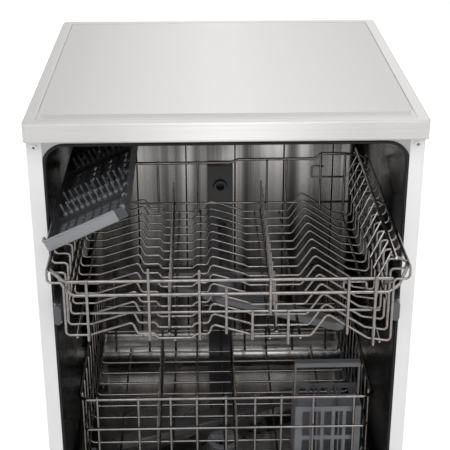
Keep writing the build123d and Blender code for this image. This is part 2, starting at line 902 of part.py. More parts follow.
# Rail end caps: rounded plugs at both ends of each rail
caps = []
for side in (-1, 1):
    for depth in (rail_out - cap_length, rail_out + rail_length):
        with BuildPart() as cap:
            with BuildSketch(Plane.XZ.offset(-(front + depth))):
                with Locations((side * rail_web, rail_height)):
                    SlotOverall(2 * rail_half_height, 12, rotation=90)
            extrude(amount=-cap_length)
        caps.append(cap.part)
save_group(caps, "rail_caps")

# Upper basket, all places worked out from its front wire
upper_front = front + upper_home - upper_out
upper_back = upper_front + upper_depth
upper_rows = [upper_front + upper_pitch * i for i in range(upper_bays + 1)]
lap = wire - 0.4

# Floor outline from left to right: cup slope, two plate grooves, a ridge, and the right cup slope
step_low = groove_floor + 6
step_high = groove_floor + 9
floor_left = [
    (-wall_half_width, cup_floor), (33 - wall_half_width, cup_floor), (-141, groove_floor + 27), (-133, step_high),
]
floor_middle = [
    (-133, step_high), (-109, step_high), (-104, groove_floor), (-54, groove_floor), (-49, step_low),
    (-30, step_low), (-24, groove_floor + 22), (31, groove_floor + 5), (38, middle_floor), (120, middle_floor),
]
floor_right = [
    (120, middle_floor), (144, groove_floor + 37), (176, groove_floor + 15), (wall_half_width - 34, groove_floor - 4),
    (wall_half_width, groove_floor - 10),
]
floor_long_wires = (
    (16 - wall_half_width, cup_floor), (-79, groove_floor), (-40, step_low), (60, middle_floor),
    (105, middle_floor), (wall_half_width - 16, groove_floor - 7.3),
)
upper_floor = []
for row in upper_rows:
    for outline in (floor_left, floor_middle, floor_right):
        upper_floor.append(bent_wire([(x, row, z) for x, z in outline], wire))
upper_floor += straight_wires(
    [(x, upper_front, z - lap) for x, z in floor_long_wires], (0, upper_depth, 0), wire
)

# Side wires step outward to the rims; the front and rear rails join them
upper_sides = []
for side, floor_end in ((-1, floor_left[0][1]), (1, floor_right[-1][1])):
    for row in upper_rows:
        upper_sides.append(
            bent_wire(
                [
                    (side * wall_half_width, row, floor_end - 2),
                    (side * wall_half_width, row, step_height),
                    (side * rim_half_width, row, step_height),
                    (side * rim_half_width, row, rim_height),
                ],
                wire,
            )
        )
    upper_sides += straight_wires(
        [(side * rim_half_width, upper_front, rim_height)], (0, upper_depth, 0), rim_wire
    )
    upper_sides += straight_wires(
        [(side * (wall_half_width - lap), upper_front, level) for level in front_rail_heights[1:]],
        (0, upper_depth, 0),
        wire,
    )
for end in (upper_front, upper_back):
    top = front_rail_heights[0]
    upper_sides.append(
        bent_wire(
            [
                (-rim_half_width, end, rim_height),
                (-rim_half_width, end, top),
                (rim_half_width, end, top),
                (rim_half_width, end, rim_height),
            ],
            rim_wire,
        )
    )
    upper_sides += straight_wires(
        [(-wall_half_width, end, level) for level in front_rail_heights[1:]],
        (2 * wall_half_width, 0, 0),
        wire,
    )
vertical_low = groove_floor + 3
upper_sides += straight_wires(
    [(x, upper_front - lap, vertical_low) for x in front_verticals], (0, 0, rim_height + 4 - vertical_low), wire
)
upper_sides += straight_wires(
    [(x, upper_back - lap, vertical_low) for x in front_verticals],
    (0, 0, front_rail_heights[0] + 4 - vertical_low),
    wire,
)
for post in tray_posts:
    upper_sides += straight_wires(
        [(tray_x, front + post, rim_height), (tray_x, front + post + barrel_length + wire + 0.6, rim_height)],
        (0, 0, tray_height + 3 - rim_height),
        wire,
    )
rod_eyes = (rod_start + 18, rod_start + rod_length / 2 + 4, rod_start + rod_length - 10)
for eye in rod_eyes:
    upper_sides.append(
        bent_wire(
            [
                (rim_half_width, front + eye, rim_height),
                (rod_x + rod_radius + 8, front + eye, rod_height - 7),
                (rod_x, front + eye, rod_height - rod_radius - wire / 2 - seat + 0.2),
            ],
            wire,
        )
    )
save_group(upper_floor + upper_sides, "upper_basket")

# Roller brackets clipped to the basket's sides, each with two axle pins
first_roller = rail_out + rail_length - 80
basket_roller_depths = (first_roller, first_roller + roller_spacing)
roller_outer = roller_inner + roller_width
upper_brackets = []
for side in (-1, 1):
    with BuildPart() as clip:
        low_x = wall_half_width + wire / 2 + seat
        high_x = roller_inner - 1
        box_between(
            (min(side * low_x, side * high_x), front + basket_roller_depths[0] - 18, rail_height - 14),
            (max(side * low_x, side * high_x), front + basket_roller_depths[1] + 18, rail_height + 100),
        )
        with BuildSketch(Plane.YZ.offset(side * high_x)):
            with Locations(*[(front + depth, rail_height) for depth in basket_roller_depths]):
                Circle(4)
        extrude(amount=side * (roller_outer - high_x))
        box_between(
            (min(side * low_x, side * (high_x - 4)), front + basket_roller_depths[0] - 10, rail_height + 20),
            (max(side * low_x, side * (high_x - 4)), front + basket_roller_depths[1] + 10, rail_height + 92),
            mode=Mode.SUBTRACT,
        )
    upper_brackets.append(clip.part)
save_group(upper_brackets, "roller_brackets")


# Basket rollers: one coaxial pair in each node
def roller_pair(depth):
    """Left and right roller that share an axis."""
    pair = []
    for side in (-1, 1):
        with BuildPart() as roller:
            with BuildSketch(Plane.YZ.offset(side * roller_inner)):
                with Locations((front + depth, rail_height)):
                    Circle(roller_radius)
                    Circle(4 + fit_gap, mode=Mode.SUBTRACT)
            extrude(amount=side * (roller_outer - roller_inner))
        pair.append(roller.part)
    return pair


save_group(roller_pair(basket_roller_depths[0]), "basket_rollers_front")
save_group(roller_pair(basket_roller_depths[1]), "basket_rollers_rear")

# Feed pipe from the rear dock to the hub under the basket's middle
upper_middle = upper_front + upper_depth / 2
hub_bar = 5
hub_top = groove_floor - lap - wire / 2 - seat - hub_bar
feed_end = front + duct_front - 8 - seat - upper_out
with BuildPart() as feed_pipe:
    with BuildSketch(Plane.XZ.offset(-upper_middle)):
        with Locations((0, feed_height)):
            Circle(feed_radius)
    extrude(amount=-(feed_end - upper_middle))
    with BuildSketch(Plane.XZ.offset(-(feed_end - 12))):
        with Locations((0, feed_height)):
            Circle(13)
    extrude(amount=-12)
    with BuildSketch(Plane.XY.offset(upper_arm_height + 14)):
        with Locations((0, upper_middle)):
            Circle(20)
    extrude(amount=hub_top - upper_arm_height - 14)
    with BuildSketch(Plane.XY.offset(upper_arm_height - 6)):
        with Locations((0, upper_middle)):
            Circle(arm_pin)
    extrude(amount=24)
    with BuildSketch(Plane.XY.offset(upper_arm_height - 6 - 2)):
        with Locations((0, upper_middle)):
            Circle(arm_pin + 4)
    extrude(amount=4)
    with BuildSketch(Plane.XY.offset(hub_top)):
        with Locations((0, upper_middle)):
            Rectangle(170, 14)
    extrude(amount=hub_bar)
save(feed_pipe.part, "upper_feed_pipe")


# Spray arms: a hollow-looking blade that tapers to both tips, with a hub bore and nozzles
def spray_arm(centre, base_height, reach, root_width, tip_width, thick, turn):
    """A blade with rounded tips, turned about the hub, with a bore for the hub's pin."""
    with BuildPart() as blade:
        with BuildSketch(Plane(origin=(*centre, base_height), x_dir=(cos(radians(turn)), sin(radians(turn)), 0))):
            with BuildLine():
                Polyline(
                    (-reach + tip_width / 2, -tip_width / 2),
                    (-30, -root_width / 2),
                    (30, -root_width / 2),
                    (reach - tip_width / 2, -tip_width / 2),
                )
                RadiusArc(
                    (reach - tip_width / 2, -tip_width / 2), (reach - tip_width / 2, tip_width / 2), -tip_width / 2
                )
                Polyline(
                    (reach - tip_width / 2, tip_width / 2),
                    (30, root_width / 2),
                    (-30, root_width / 2),
                    (-reach + tip_width / 2, tip_width / 2),
                )
                RadiusArc(
                    (-reach + tip_width / 2, tip_width / 2), (-reach + tip_width / 2, -tip_width / 2), -tip_width / 2
                )
            make_face()
            Circle(root_width / 2 + 4)
        extrude(amount=thick)
        chamfer(blade.faces().sort_by(Axis.Z)[-1].outer_wire().edges(), 2.5)
        with BuildSketch(Plane(origin=(*centre, base_height))):
            Circle(arm_pin + fit_gap)
        extrude(amount=thick, mode=Mode.SUBTRACT)
    return blade.part


save(spray_arm((0, upper_middle), upper_arm_height, upper_arm_radius, 40, 26, 12, 150), "upper_spray_arm")
save(
    spray_arm((0, front + sump_depth), lower_arm_height, lower_arm_radius, 46, 30, 12, 25), "lower_spray_arm"
)

# Utensil tray, tipped about its hinge over the left rim
tray_plane = Plane(
    origin=(tray_x, front + tray_start, tray_height),
    x_dir=(cos(radians(tray_tilt)), 0, sin(radians(tray_tilt))),
    z_dir=(-sin(radians(tray_tilt)), 0, cos(radians(tray_tilt))),
)
tray_middle = (tray_gap + tray_width) / 2
window_rows = [22, 46, 70, 127, 176, 200, 224, 248, 272, tray_length - 54, tray_length - 30]
with BuildPart() as utensil_tray:
    with BuildSketch(tray_plane.offset(-2)):
        with Locations((tray_middle, tray_length / 2)):
            RectangleRounded(tray_width - tray_gap, tray_length, 6)
    extrude(amount=tray_depth)
    with BuildSketch(tray_plane):
        with Locations((tray_middle, (tray_front_wall + tray_length - tray_wall) / 2)):
            Rectangle(tray_width - tray_gap - 2 * tray_wall, tray_length - tray_front_wall - tray_wall)
    extrude(amount=tray_depth, mode=Mode.SUBTRACT)
    with BuildSketch(tray_plane.offset(-2)):
        with Locations(*[(tray_middle, row) for row in window_rows]):
            with GridLocations(29, 1, 4, 1):
                Rectangle(22, 18)
    extrude(amount=2, mode=Mode.SUBTRACT)
    with BuildSketch(tray_plane.offset(-1)):
        with Locations(*[(tray_middle, row) for row in tray_rows]):
            Rectangle(tray_width - tray_gap - tray_wall, 8)
    extrude(amount=4)
    with BuildSketch(tray_plane.offset(1)):
        with Locations(*[(tray_middle, row) for row in tray_rows]):
            with GridLocations(tray_row_pitch, 1, tray_row_tines, 1):
                Rectangle(2.4, 2.4)
    extrude(amount=tray_tine)
    for post in tray_posts:
        with BuildSketch(Plane.XZ.offset(-(front + post + wire / 2 + seat))):
            with Locations((tray_x, tray_height)):
                Circle(3)
            with Locations((tray_x + 4 * cos(radians(tray_tilt)), tray_height + 4 * sin(radians(tray_tilt)))):
                Rectangle(8, 4, rotation=tray_tilt)
        extrude(amount=-barrel_length)
save(utensil_tray.part, "utensil_tray")

# Cup rack: a round rod in the basket's eyes with straight prongs
prong_run = (-prong_length * cos(radians(prong_slope)), 0, -prong_length * sin(radians(prong_slope)))
prong_depths = [prong_start + prong_pitch * i for i in range(prong_count)]
cup_rack = [round_bar((rod_x, front + rod_start, rod_height), (0, rod_length, 0), rod_radius)]
cup_rack += straight_wires([(rod_x, front + depth, rod_height) for depth in prong_depths], prong_run, tine)
save_group(cup_rack, "cup_rack")


# Folding tine rows: a round rod near the floor with upright tines
def tine_row(x, floor_level, start, count, pitch, height):
    """A rod that lies on the floor wires, with a tine at every pitch."""
    rod_level = floor_level + wire / 2 + seat + tine_rod
    row_rod = [round_bar((x, start - 12, rod_level), (0, pitch * (count - 1) + 24, 0), tine_rod)]
    return row_rod + straight_wires(
        [(x, start + pitch * i, rod_level) for i in range(count)], (0, 0, height), tine
    )


upper_tine_start = upper_front + 0.5 * upper_pitch
save_group(tine_row(-88, groove_floor, upper_tine_start, upper_bays, upper_pitch, 62), "upper_tines_left")
save_group(tine_row(70, middle_floor, upper_tine_start, upper_bays, upper_pitch, 62), "upper_tines_right")

# Lower basket
lower_front = front + lower_home
lower_back = lower_front + lower_depth
lower_rows = [lower_front + lower_end_bay + lower_pitch * i for i in range(lower_bays + 1)]
lower_floor_wires = straight_wires(
    [(-lower_wall, row, lower_floor) for row in lower_rows], (2 * lower_wall, 0, 0), wire
)
lower_long_wires = (-190, -95, -50, 0, 95, 190)
lower_verticals = (30 - lower_half_width, -150, -95, -50, 0, 50, 95, 150, lower_half_width - 30)
lower_floor_wires += straight_wires(
    [(x, lower_front, lower_floor - lap) for x in lower_long_wires], (0, lower_depth, 0), wire
)
lower_floor_wires += straight_wires(
    [(-50, row + lower_pitch / 2, lower_floor - lap) for row in lower_rows[:-1]], (0, 0, 70), tine
)

lower_sides = []
for side in (-1, 1):
    lower_sides += straight_wires(
        [(side * lower_wall, row, lower_floor - 1) for row in lower_rows],
        (0, 0, lower_rim - lower_floor + 1),
        wire,
    )
    lower_sides += straight_wires(
        [(side * lower_half_width, lower_front, lower_rim)], (0, lower_depth, 0), rim_wire
    )
    lower_sides += straight_wires(
        [(side * (lower_wall - lap), lower_front, level) for level in lower_levels], (0, lower_depth, 0), wire
    )
for end, outward in ((lower_front, -1), (lower_back, 1)):
    lower_sides += straight_wires(
        [(-lower_half_width, end, lower_rim)], (2 * lower_half_width, 0, 0), rim_wire
    )
    lower_sides += straight_wires(
        [(-lower_half_width, end, level) for level in lower_levels], (2 * lower_half_width, 0, 0), wire
    )
    lower_sides += straight_wires(
        [(x, end - outward * lap, lower_floor) for x in lower_verticals],
        (0, 0, lower_rim - lower_floor),
        wire,
    )
save_group(lower_floor_wires + lower_sides, "lower_basket")

lower_tine_start = lower_rows[0] + lower_pitch / 2
save_group(tine_row(-120, lower_floor, lower_tine_start, lower_bays, lower_pitch, 92), "lower_tines_left")
save_group(tine_row(20, lower_floor, lower_tine_start, lower_bays, lower_pitch, 92), "lower_tines_right")

# Wheel carriers and wheels of the lower basket
carrier_inner = wheel_inner - 11
carrier_outer = wheel_inner - 3
carriers_low = []
for side in (-1, 1):
    for depth in wheel_depths:
        with BuildPart() as carrier:
            box_between(
                (min(side * carrier_inner, side * carrier_outer), front + depth - 14, wheel_height - 10),
                (max(side * carrier_inner, side * carrier_outer), front + depth + 14, lower_floor - wire / 2 - seat),
            )
            with BuildSketch(Plane.YZ.offset(side * carrier_outer)):
                with Locations((front + depth, wheel_height)):
                    Circle(wheel_pin)
            extrude(amount=side * (wheel_inner + wheel_width - carrier_outer))
        carriers_low.append(carrier.part)
save_group(carriers_low, "wheel_carriers")


def wheel_pair(depth):
    """Left and right wheel that share an axis."""
    pair = []
    for side in (-1, 1):
        with BuildPart() as wheel:
            with BuildSketch(Plane.YZ.offset(side * wheel_inner)):
                with Locations((front + depth, wheel_height)):
                    Circle(wheel_radius)
                    Circle(wheel_pin + fit_gap, mode=Mode.SUBTRACT)
            extrude(amount=side * wheel_width)
        pair.append(wheel.part)
    return pair


save_group(wheel_pair(wheel_depths[0]), "wheels_front")
save_group(wheel_pair(wheel_depths[1]), "wheels_rear")

# Cutlery basket: a box with slotted walls, six cells and a carrying bow
cutlery_high = (lower_wall - 12.5, lower_front + 88, lower_floor + 130)
cutlery_low = (cutlery_high[0] - 114, lower_front + 12, lower_floor + wire / 2 + seat)
cutlery_middle = [(a + b) / 2 for a, b in zip(cutlery_low, cutlery_high)]
bow_top = 370
with BuildPart() as cutlery_basket:
    box_between(cutlery_low, cutlery_high)
    offset(amount=-2, openings=cutlery_basket.faces().sort_by(Axis.Z)[-1])
    with BuildSketch(Plane.XZ.offset(-cutlery_low[1] + 1)):
        with Locations((cutlery_middle[0], cutlery_middle[2])):
            with GridLocations(19, 58, 5, 2):
                Rectangle(13, 50)
    extrude(amount=-90, mode=Mode.SUBTRACT)
    with BuildSketch(Plane.YZ.offset(cutlery_low[0] - 1)):
        with Locations((cutlery_middle[1], cutlery_middle[2])):
            with GridLocations(17, 58, 4, 2):
                Rectangle(11, 50)
    extrude(amount=130, mode=Mode.SUBTRACT)
    box_between(
        (cutlery_low[0] + 1, cutlery_middle[1] - 1, cutlery_low[2]),
        (cutlery_high[0] - 1, cutlery_middle[1] + 1, cutlery_high[2]),
    )
    for x in (cutlery_middle[0] - 19, cutlery_middle[0] + 19):
        box_between((x - 1, cutlery_low[1] + 1, cutlery_low[2]), (x + 1, cutlery_high[1] - 1, cutlery_high[2]))
    for x in (cutlery_low[0], cutlery_high[0] - 3):
        box_between((x, cutlery_middle[1] - 5, cutlery_high[2] - 20), (x + 3, cutlery_middle[1] + 5, bow_top))
    box_between(
        (cutlery_low[0], cutlery_middle[1] - 7, bow_top - 8), (cutlery_high[0], cutlery_middle[1] + 7, bow_top)
    )
save(cutlery_basket.part, "cutlery_basket")

# Door outer panel: a shallow pressed tray, open towards the liner and at the hinge end
fascia_bottom = door_top - fascia_height
skin = above(-door_face)
rim_level = above(-door_gap - liner_sheet) - seat
with BuildPart() as door_panel:
    box_between(
        (-half_body + 1, along(fascia_bottom - door_gap), skin),
        (half_body - 1, along(door_bottom), rim_level),
    )
    fillet(door_panel.edges().filter_by(Axis.Y).group_by(Axis.Z)[0], 3)
    offset(
        amount=-panel_sheet,
        openings=[door_panel.faces().sort_by(Axis.Z)[-1], door_panel.faces().sort_by(Axis.Y)[-1]],
    )
save(door_panel.part, "door_outer_panel")

# Dispenser place on the liner
dispenser_half = 62
dispenser_low = 430
dispenser_high = 530
dispenser_x = -40

# Door liner: a pressed sheet with a raised field and an opening for the dispenser
liner_level = above(-door_gap - liner_sheet)
track_level = above(liner_reach)
with BuildPart() as door_liner:
    with BuildSketch(Plane.XY.offset(liner_level)):
        with Locations((0, (along(liner_start) + along(liner_end)) / 2)):
            RectangleRounded(2 * liner_half_width, along(liner_start) - along(liner_end), liner_corner)
    extrude(amount=track_level - liner_level, taper=3)
    chamfer(door_liner.faces().sort_by(Axis.Z)[-1].edges(), 2)
    offset(amount=-liner_sheet, openings=door_liner.faces().sort_by(Axis.Z)[0])
    with BuildSketch(Plane.XY.offset(liner_level)):
        with Locations((0, (along(liner_bottom) + along(liner_top)) / 2)):
            Rectangle(2 * (half_body - door_wall), along(liner_bottom) - along(liner_top))
        with Locations((0, (along(liner_start) + along(liner_end)) / 2)):
            RectangleRounded(
                2 * (liner_half_width - liner_sheet), along(liner_start) - along(liner_end) - 2 * liner_sheet,
                liner_corner - liner_sheet, mode=Mode.SUBTRACT,
            )
        with Locations(*[(side * screw_x, along(screw_height)) for side in (-1, 1)]):
            Rectangle(13, 14, mode=Mode.SUBTRACT)
    extrude(amount=liner_sheet)
    box_between(
        (dispenser_x - dispenser_half - seat, along(dispenser_high) - seat, liner_level + 3),
        (dispenser_x + dispenser_half + seat, along(dispenser_low) + seat, track_level + 2),
        mode=Mode.SUBTRACT,
    )
save(door_liner.part, "door_liner")

# Control fascia: a moulded box with a grip recess, a display window and button holes
button_half = 6
button_height = door_top - 35
button_xs = (-235, 150, 185)
grip_low = door_top - 105
grip_high = door_top - 69
grip_half = 95
window_x = 40
with BuildPart() as fascia:
    box_between(
        (-half_body + 1, along(door_top), skin), (half_body - 1, along(fascia_bottom), rim_level)
    )
    fillet(fascia.edges().filter_by(Axis.X).group_by(Axis.Z)[0], 4)
    offset(amount=-door_wall, openings=fascia.faces().sort_by(Axis.Z)[-1])
    box_between(
        (-grip_half - door_wall, along(grip_high) - door_wall, skin + 1),
        (grip_half + door_wall, along(grip_low) + door_wall, skin + 19),
    )
    box_between(
        (-grip_half, along(grip_high), skin - 1), (grip_half, along(grip_low), skin + 19 - door_wall),
        mode=Mode.SUBTRACT,
    )
    box_between(
        (window_x - 35, along(button_height + 10), skin - 1),
        (window_x + 35, along(button_height - 10), skin + 0.8),
        mode=Mode.SUBTRACT,
    )
    with BuildSketch(Plane.XY.offset(skin - 1)):
        with Locations(*[(x, along(button_height)) for x in button_xs]):
            Rectangle(2 * button_half + 0.4, 2 * button_half + 0.4)
    extrude(amount=door_wall + 2, mode=Mode.SUBTRACT)
save(fascia.part, "control_fascia")


# Buttons: a cap through the fascia with a wider foot behind it
def push_button(x):
    """One square button in its hole, with bevelled edges."""
    spot = (x, along(button_height))
    with BuildPart() as button:
        with BuildSketch(Plane.XY.offset(skin - 1.8)):
            with Locations(spot):
                Rectangle(2 * button_half, 2 * button_half)
        extrude(amount=door_wall + 1.8 + seat)
        chamfer(button.edges().group_by(Axis.Z)[0], 1)
        with BuildSketch(Plane.XY.offset(skin + door_wall + seat)):
            with Locations(spot):
                Rectangle(2 * button_half + 4, 2 * button_half + 4)
        extrude(amount=2.5)
    return button.part


button_names = ("power_button", "programme_button", "start_button")
for button_name, button_x in zip(button_names, button_xs):
    save(push_button(button_x), button_name)

# Door latch: a tongue with an eye for the striker
with BuildPart() as door_latch:
    box_between(
        (-latch_half_width, along(latch_height + latch_half_height), liner_level + liner_sheet),
        (latch_half_width, along(latch_height - latch_half_height), above(17)),
    )
    box_between(
        (-5, along(latch_height + latch_half_height), above(7)),
        (5, along(latch_height - latch_half_height), above(12)),
        mode=Mode.SUBTRACT,
    )
save(door_latch.part, "door_latch")

# Dispenser: a moulded body with a powder cup, guide rails for the lid and the rinse-aid mouth
disp_left = dispenser_x - dispenser_half
disp_right = dispenser_x + dispenser_half
cup_right = dispenser_x + 14
rinse_x = dispenser_x + 40
rinse_height = 480
with BuildPart() as dispenser:
    box_between(
        (disp_left, along(dispenser_high), liner_level + 4), (disp_right, along(dispenser_low), track_level + 1)
    )
    chamfer(dispenser.edges().filter_by(Axis.Z), 5)
    box_between(
        (disp_left + 6, along(486), liner_level + 8), (cup_right - 4, along(dispenser_low + 6), track_level + 2),
        mode=Mode.SUBTRACT,
    )
    with BuildSketch(Plane.XY.offset(track_level + 1)):
        with Locations((rinse_x, along(rinse_height))):
            Circle(13)
    extrude(amount=-12, mode=Mode.SUBTRACT)
    for x in (disp_left + 2, cup_right):
        box_between((x - 1, along(dispenser_high - 3), track_level), (x + 1, along(dispenser_low + 3), track_level + 5))
save(dispenser.part, "dispenser_body")

with BuildPart() as dispenser_lid:
    box_between(
        (disp_left + 3.3, along(488), track_level + 1 + seat),
        (cup_right - 1.3, along(dispenser_low + 4), track_level + 4),
    )
    box_between(
        (disp_left + 14, along(446), track_level + 3), (cup_right - 12, along(442), track_level + 6)
    )
save(dispenser_lid.part, "dispenser_lid")

with BuildPart() as rinse_cap:
    with BuildSketch(Plane.XY.offset(track_level + 1 + seat)):
        with Locations((rinse_x, along(rinse_height))):
            Circle(16)
    extrude(amount=3)
    with BuildSketch(Plane.XY.offset(track_level + 1 + seat)):
        with Locations((rinse_x, along(rinse_height))):
            Circle(13 - fit_gap)
    extrude(amount=-9)
    with BuildSketch(Plane.XY.offset(track_level + 4)):
        with Locations((rinse_x, along(rinse_height))):
            Rectangle(26, 4)
    extrude(amount=4)
save(rinse_cap.part, "rinse_aid_cap")
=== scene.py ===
import math
from functools import reduce

import bpy
import numpy as np
from bpy.props import FloatProperty, FloatVectorProperty, IntProperty, PointerProperty
from bpy.types import Operator, Panel, PropertyGroup
from mathutils import Matrix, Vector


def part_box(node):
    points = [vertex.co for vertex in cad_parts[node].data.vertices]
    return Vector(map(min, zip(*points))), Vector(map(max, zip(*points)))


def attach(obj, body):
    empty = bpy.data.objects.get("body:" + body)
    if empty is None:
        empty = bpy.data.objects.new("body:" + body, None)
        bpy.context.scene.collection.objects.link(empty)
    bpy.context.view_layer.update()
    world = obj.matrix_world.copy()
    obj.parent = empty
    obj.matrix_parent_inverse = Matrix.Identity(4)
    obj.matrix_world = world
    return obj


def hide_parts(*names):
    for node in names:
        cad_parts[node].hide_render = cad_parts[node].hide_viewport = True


bl_info = {
    "name": "Dishwasher finish",
    "version": (1, 0, 0),
    "blender": (4, 5, 0),
    "location": "View3D > Sidebar > Dishwasher",
    "description": "Wires, sprung parts, small fittings and finishes of an open dishwasher",
    "category": "Object",
}

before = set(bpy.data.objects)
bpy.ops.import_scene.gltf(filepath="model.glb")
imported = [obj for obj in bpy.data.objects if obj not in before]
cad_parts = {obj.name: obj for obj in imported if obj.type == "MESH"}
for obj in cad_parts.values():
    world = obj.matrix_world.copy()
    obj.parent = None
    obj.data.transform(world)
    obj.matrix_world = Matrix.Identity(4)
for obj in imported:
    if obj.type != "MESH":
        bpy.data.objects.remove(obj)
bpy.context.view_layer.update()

# Shapes are worked out in millimetres. Sockets, lamps and the camera take metres.
MM = 0.001
# The front faces of the posts, from which the baskets, the tray and the camera are placed.
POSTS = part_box("side_panel_left")[0].y / MM
UPPER_FRONT = POSTS - 142
UPPER_DEPTH = 460
UPPER_BACK = UPPER_FRONT + UPPER_DEPTH
LOWER_FRONT = POSTS + 45
LOWER_DEPTH = 445
LOWER_BACK = LOWER_FRONT + LOWER_DEPTH
# How far welded wires sink into one another.
WELD = 0.4
# Thickness of the rods that the cup rack and the tine rows turn on, in metres.
ROD = 5 * MM
# The middle of a post screw's head: away from the middle plane, and above the floor.
SCREW_RADIUS = 4.5
SCREW_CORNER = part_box("post_screws")[1]
SCREWS = SCREW_CORNER.x / MM - SCREW_RADIUS, SCREW_CORNER.z / MM - SCREW_RADIUS


# Sizes and colours


class WireSizes(PropertyGroup):
    """Sizes of the bent wires of both baskets."""

    rim: FloatProperty(
        name="Rim wire", description="Thickness of the rims", default=5.5 * MM, unit="LENGTH"
    )
    wire: FloatProperty(
        name="Basket wire", description="Thickness of the other wires", default=4.3 * MM, unit="LENGTH"
    )
    hoop: FloatProperty(
        name="Hoop", description="Thickness of the upper basket's hoops", default=3.7 * MM, unit="LENGTH"
    )
    tine: FloatProperty(
        name="Tine", description="Thickness of the tines", default=3.0 * MM, unit="LENGTH"
    )
    bend: FloatProperty(
        name="Bend", description="Radius of a wire's bends", default=8 * MM, unit="LENGTH"
    )
    sides: IntProperty(name="Sides", description="Flats round one wire", default=10, min=6, max=24)


class Finishes(PropertyGroup):
    """Colours of the materials."""

    enamel: FloatVectorProperty(
        name="Enamel", description="Side sheets, posts and door", subtype="COLOR",
        default=(0.905, 0.903, 0.905),
    )
    silver: FloatVectorProperty(
        name="Worktop edge", description="Moulded edge of the worktop", subtype="COLOR",
        default=(0.66, 0.65, 0.64),
    )
    laminate: FloatVectorProperty(
        name="Worktop board", description="Board in the worktop", subtype="COLOR",
        default=(0.70, 0.68, 0.665),
    )
    steel: FloatVectorProperty(
        name="Tub steel", description="Tub and door liner", subtype="COLOR", default=(0.44, 0.43, 0.42)
    )
    wire: FloatVectorProperty(
        name="Wire coat", description="Coat of the basket wires", subtype="COLOR",
        default=(0.225, 0.21, 0.202),
    )
    grey: FloatVectorProperty(
        name="Grey plastic", description="Caps, rollers and spray arms", subtype="COLOR",
        default=(0.17, 0.175, 0.185),
    )
    light: FloatVectorProperty(
        name="Light plastic", description="Lips and dispenser", subtype="COLOR",
        default=(0.27, 0.275, 0.29),
    )
    dark: FloatVectorProperty(
        name="Dark plastic", description="Tray, duct and base", subtype="COLOR",
        default=(0.045, 0.046, 0.05),
    )
    rubber: FloatVectorProperty(
        name="Rubber", description="Seals", subtype="COLOR", default=(0.012, 0.012, 0.013)
    )


class StageLook(PropertyGroup):
    """Floor, light and view."""

    floor: FloatVectorProperty(
        name="Floor", description="Colour of the floor", subtype="COLOR", default=(0.86, 0.86, 0.86)
    )
    lift: FloatProperty(
        name="Floor lift", description="White added to the floor where it is seen", default=0.45
    )
    key: FloatProperty(name="Key light", description="Strength of the large lamp in watts", default=44.0)
    fill: FloatProperty(name="Fill light", description="Strength of the side lamp in watts", default=15.0)
    sky: FloatProperty(name="Room light", description="Strength of the surroundings", default=0.72)


# Surfaces. A shape is a set of points, quads and triangles, in millimetres.


def unit(vectors):
    """Each vector divided by its own length."""
    return vectors / np.linalg.norm(vectors, axis=-1, keepdims=True)


def bent_route(points, radius, steps=6):
    """A polyline whose inner corners become arcs. The arc of radius r that touches both runs has its centre
    at corner + (u + v) r / (|u + v| sin h), where u and v point along the two runs and 2h is the angle
    between them. On a short run r shrinks, so that the arcs at its two ends stay apart."""
    p = np.asarray(points, float)
    if len(p) < 3:
        return p
    share = 0.48
    back, ahead = p[:-2] - p[1:-1], p[2:] - p[1:-1]
    u, v = unit(back), unit(ahead)
    half = 0.5 * np.arccos(np.clip((u * v).sum(1), -1, 1))
    room = share * np.minimum(np.linalg.norm(back, axis=1), np.linalg.norm(ahead, axis=1))
    trim = np.minimum(radius / np.tan(half), room)
    r = trim * np.tan(half)
    centre = p[1:-1] + unit(u + v) * (r / np.sin(half))[:, None]
    first = p[1:-1] + u * trim[:, None] - centre
    last = p[1:-1] + v * trim[:, None] - centre
    turn = (math.pi - 2 * half)[:, None, None]
    t = np.linspace(0, 1, steps)[None, :, None]
    spokes = np.sin((1 - t) * turn) * first[:, None] + np.sin(t * turn) * last[:, None]
    arcs = centre[:, None] + spokes / np.sin(turn)
    return np.concatenate([p[:1], arcs.reshape(-1, 3), p[-1:]])


def directions(route):
    """Unit tangents of a route, the mean of the two runs that meet at each point."""
    step = unit(np.diff(route, axis=0))
    return unit(np.concatenate([step[:1], step[:-1] + step[1:], step[-1:]]))


def plane_normal(route):
    """The direction in which a route spreads least, or any direction square to a straight one."""
    _, spread, ways = np.linalg.svd(route - route.mean(0), full_matrices=True)
    if spread[1] > 1e-7:
        return ways[2]
    along = unit(route[-1] - route[0])
    return unit(np.cross(along, np.eye(3)[np.argmin(np.abs(along))]))


def lattice(rows, columns):
    """Quads of a grid of rows by columns points, whose last column joins its first."""
    i = np.arange(rows - 1)[:, None] * columns
    k = np.arange(columns)[None, :]
    ahead = (k + 1) % columns
    return np.stack([i + k, i + ahead, i + columns + ahead, i + columns + k], -1).reshape(-1, 4)


def fans(rows, columns):
    """Triangles from the first and the last row of such a grid to the two points that follow its own."""
    k = np.arange(columns)
    ahead, end = (k + 1) % columns, (rows - 1) * columns
    pole = np.full(columns, rows * columns)
    return np.concatenate([np.stack([pole, ahead, k], -1), np.stack([end + k, end + ahead, pole + 1], -1)])


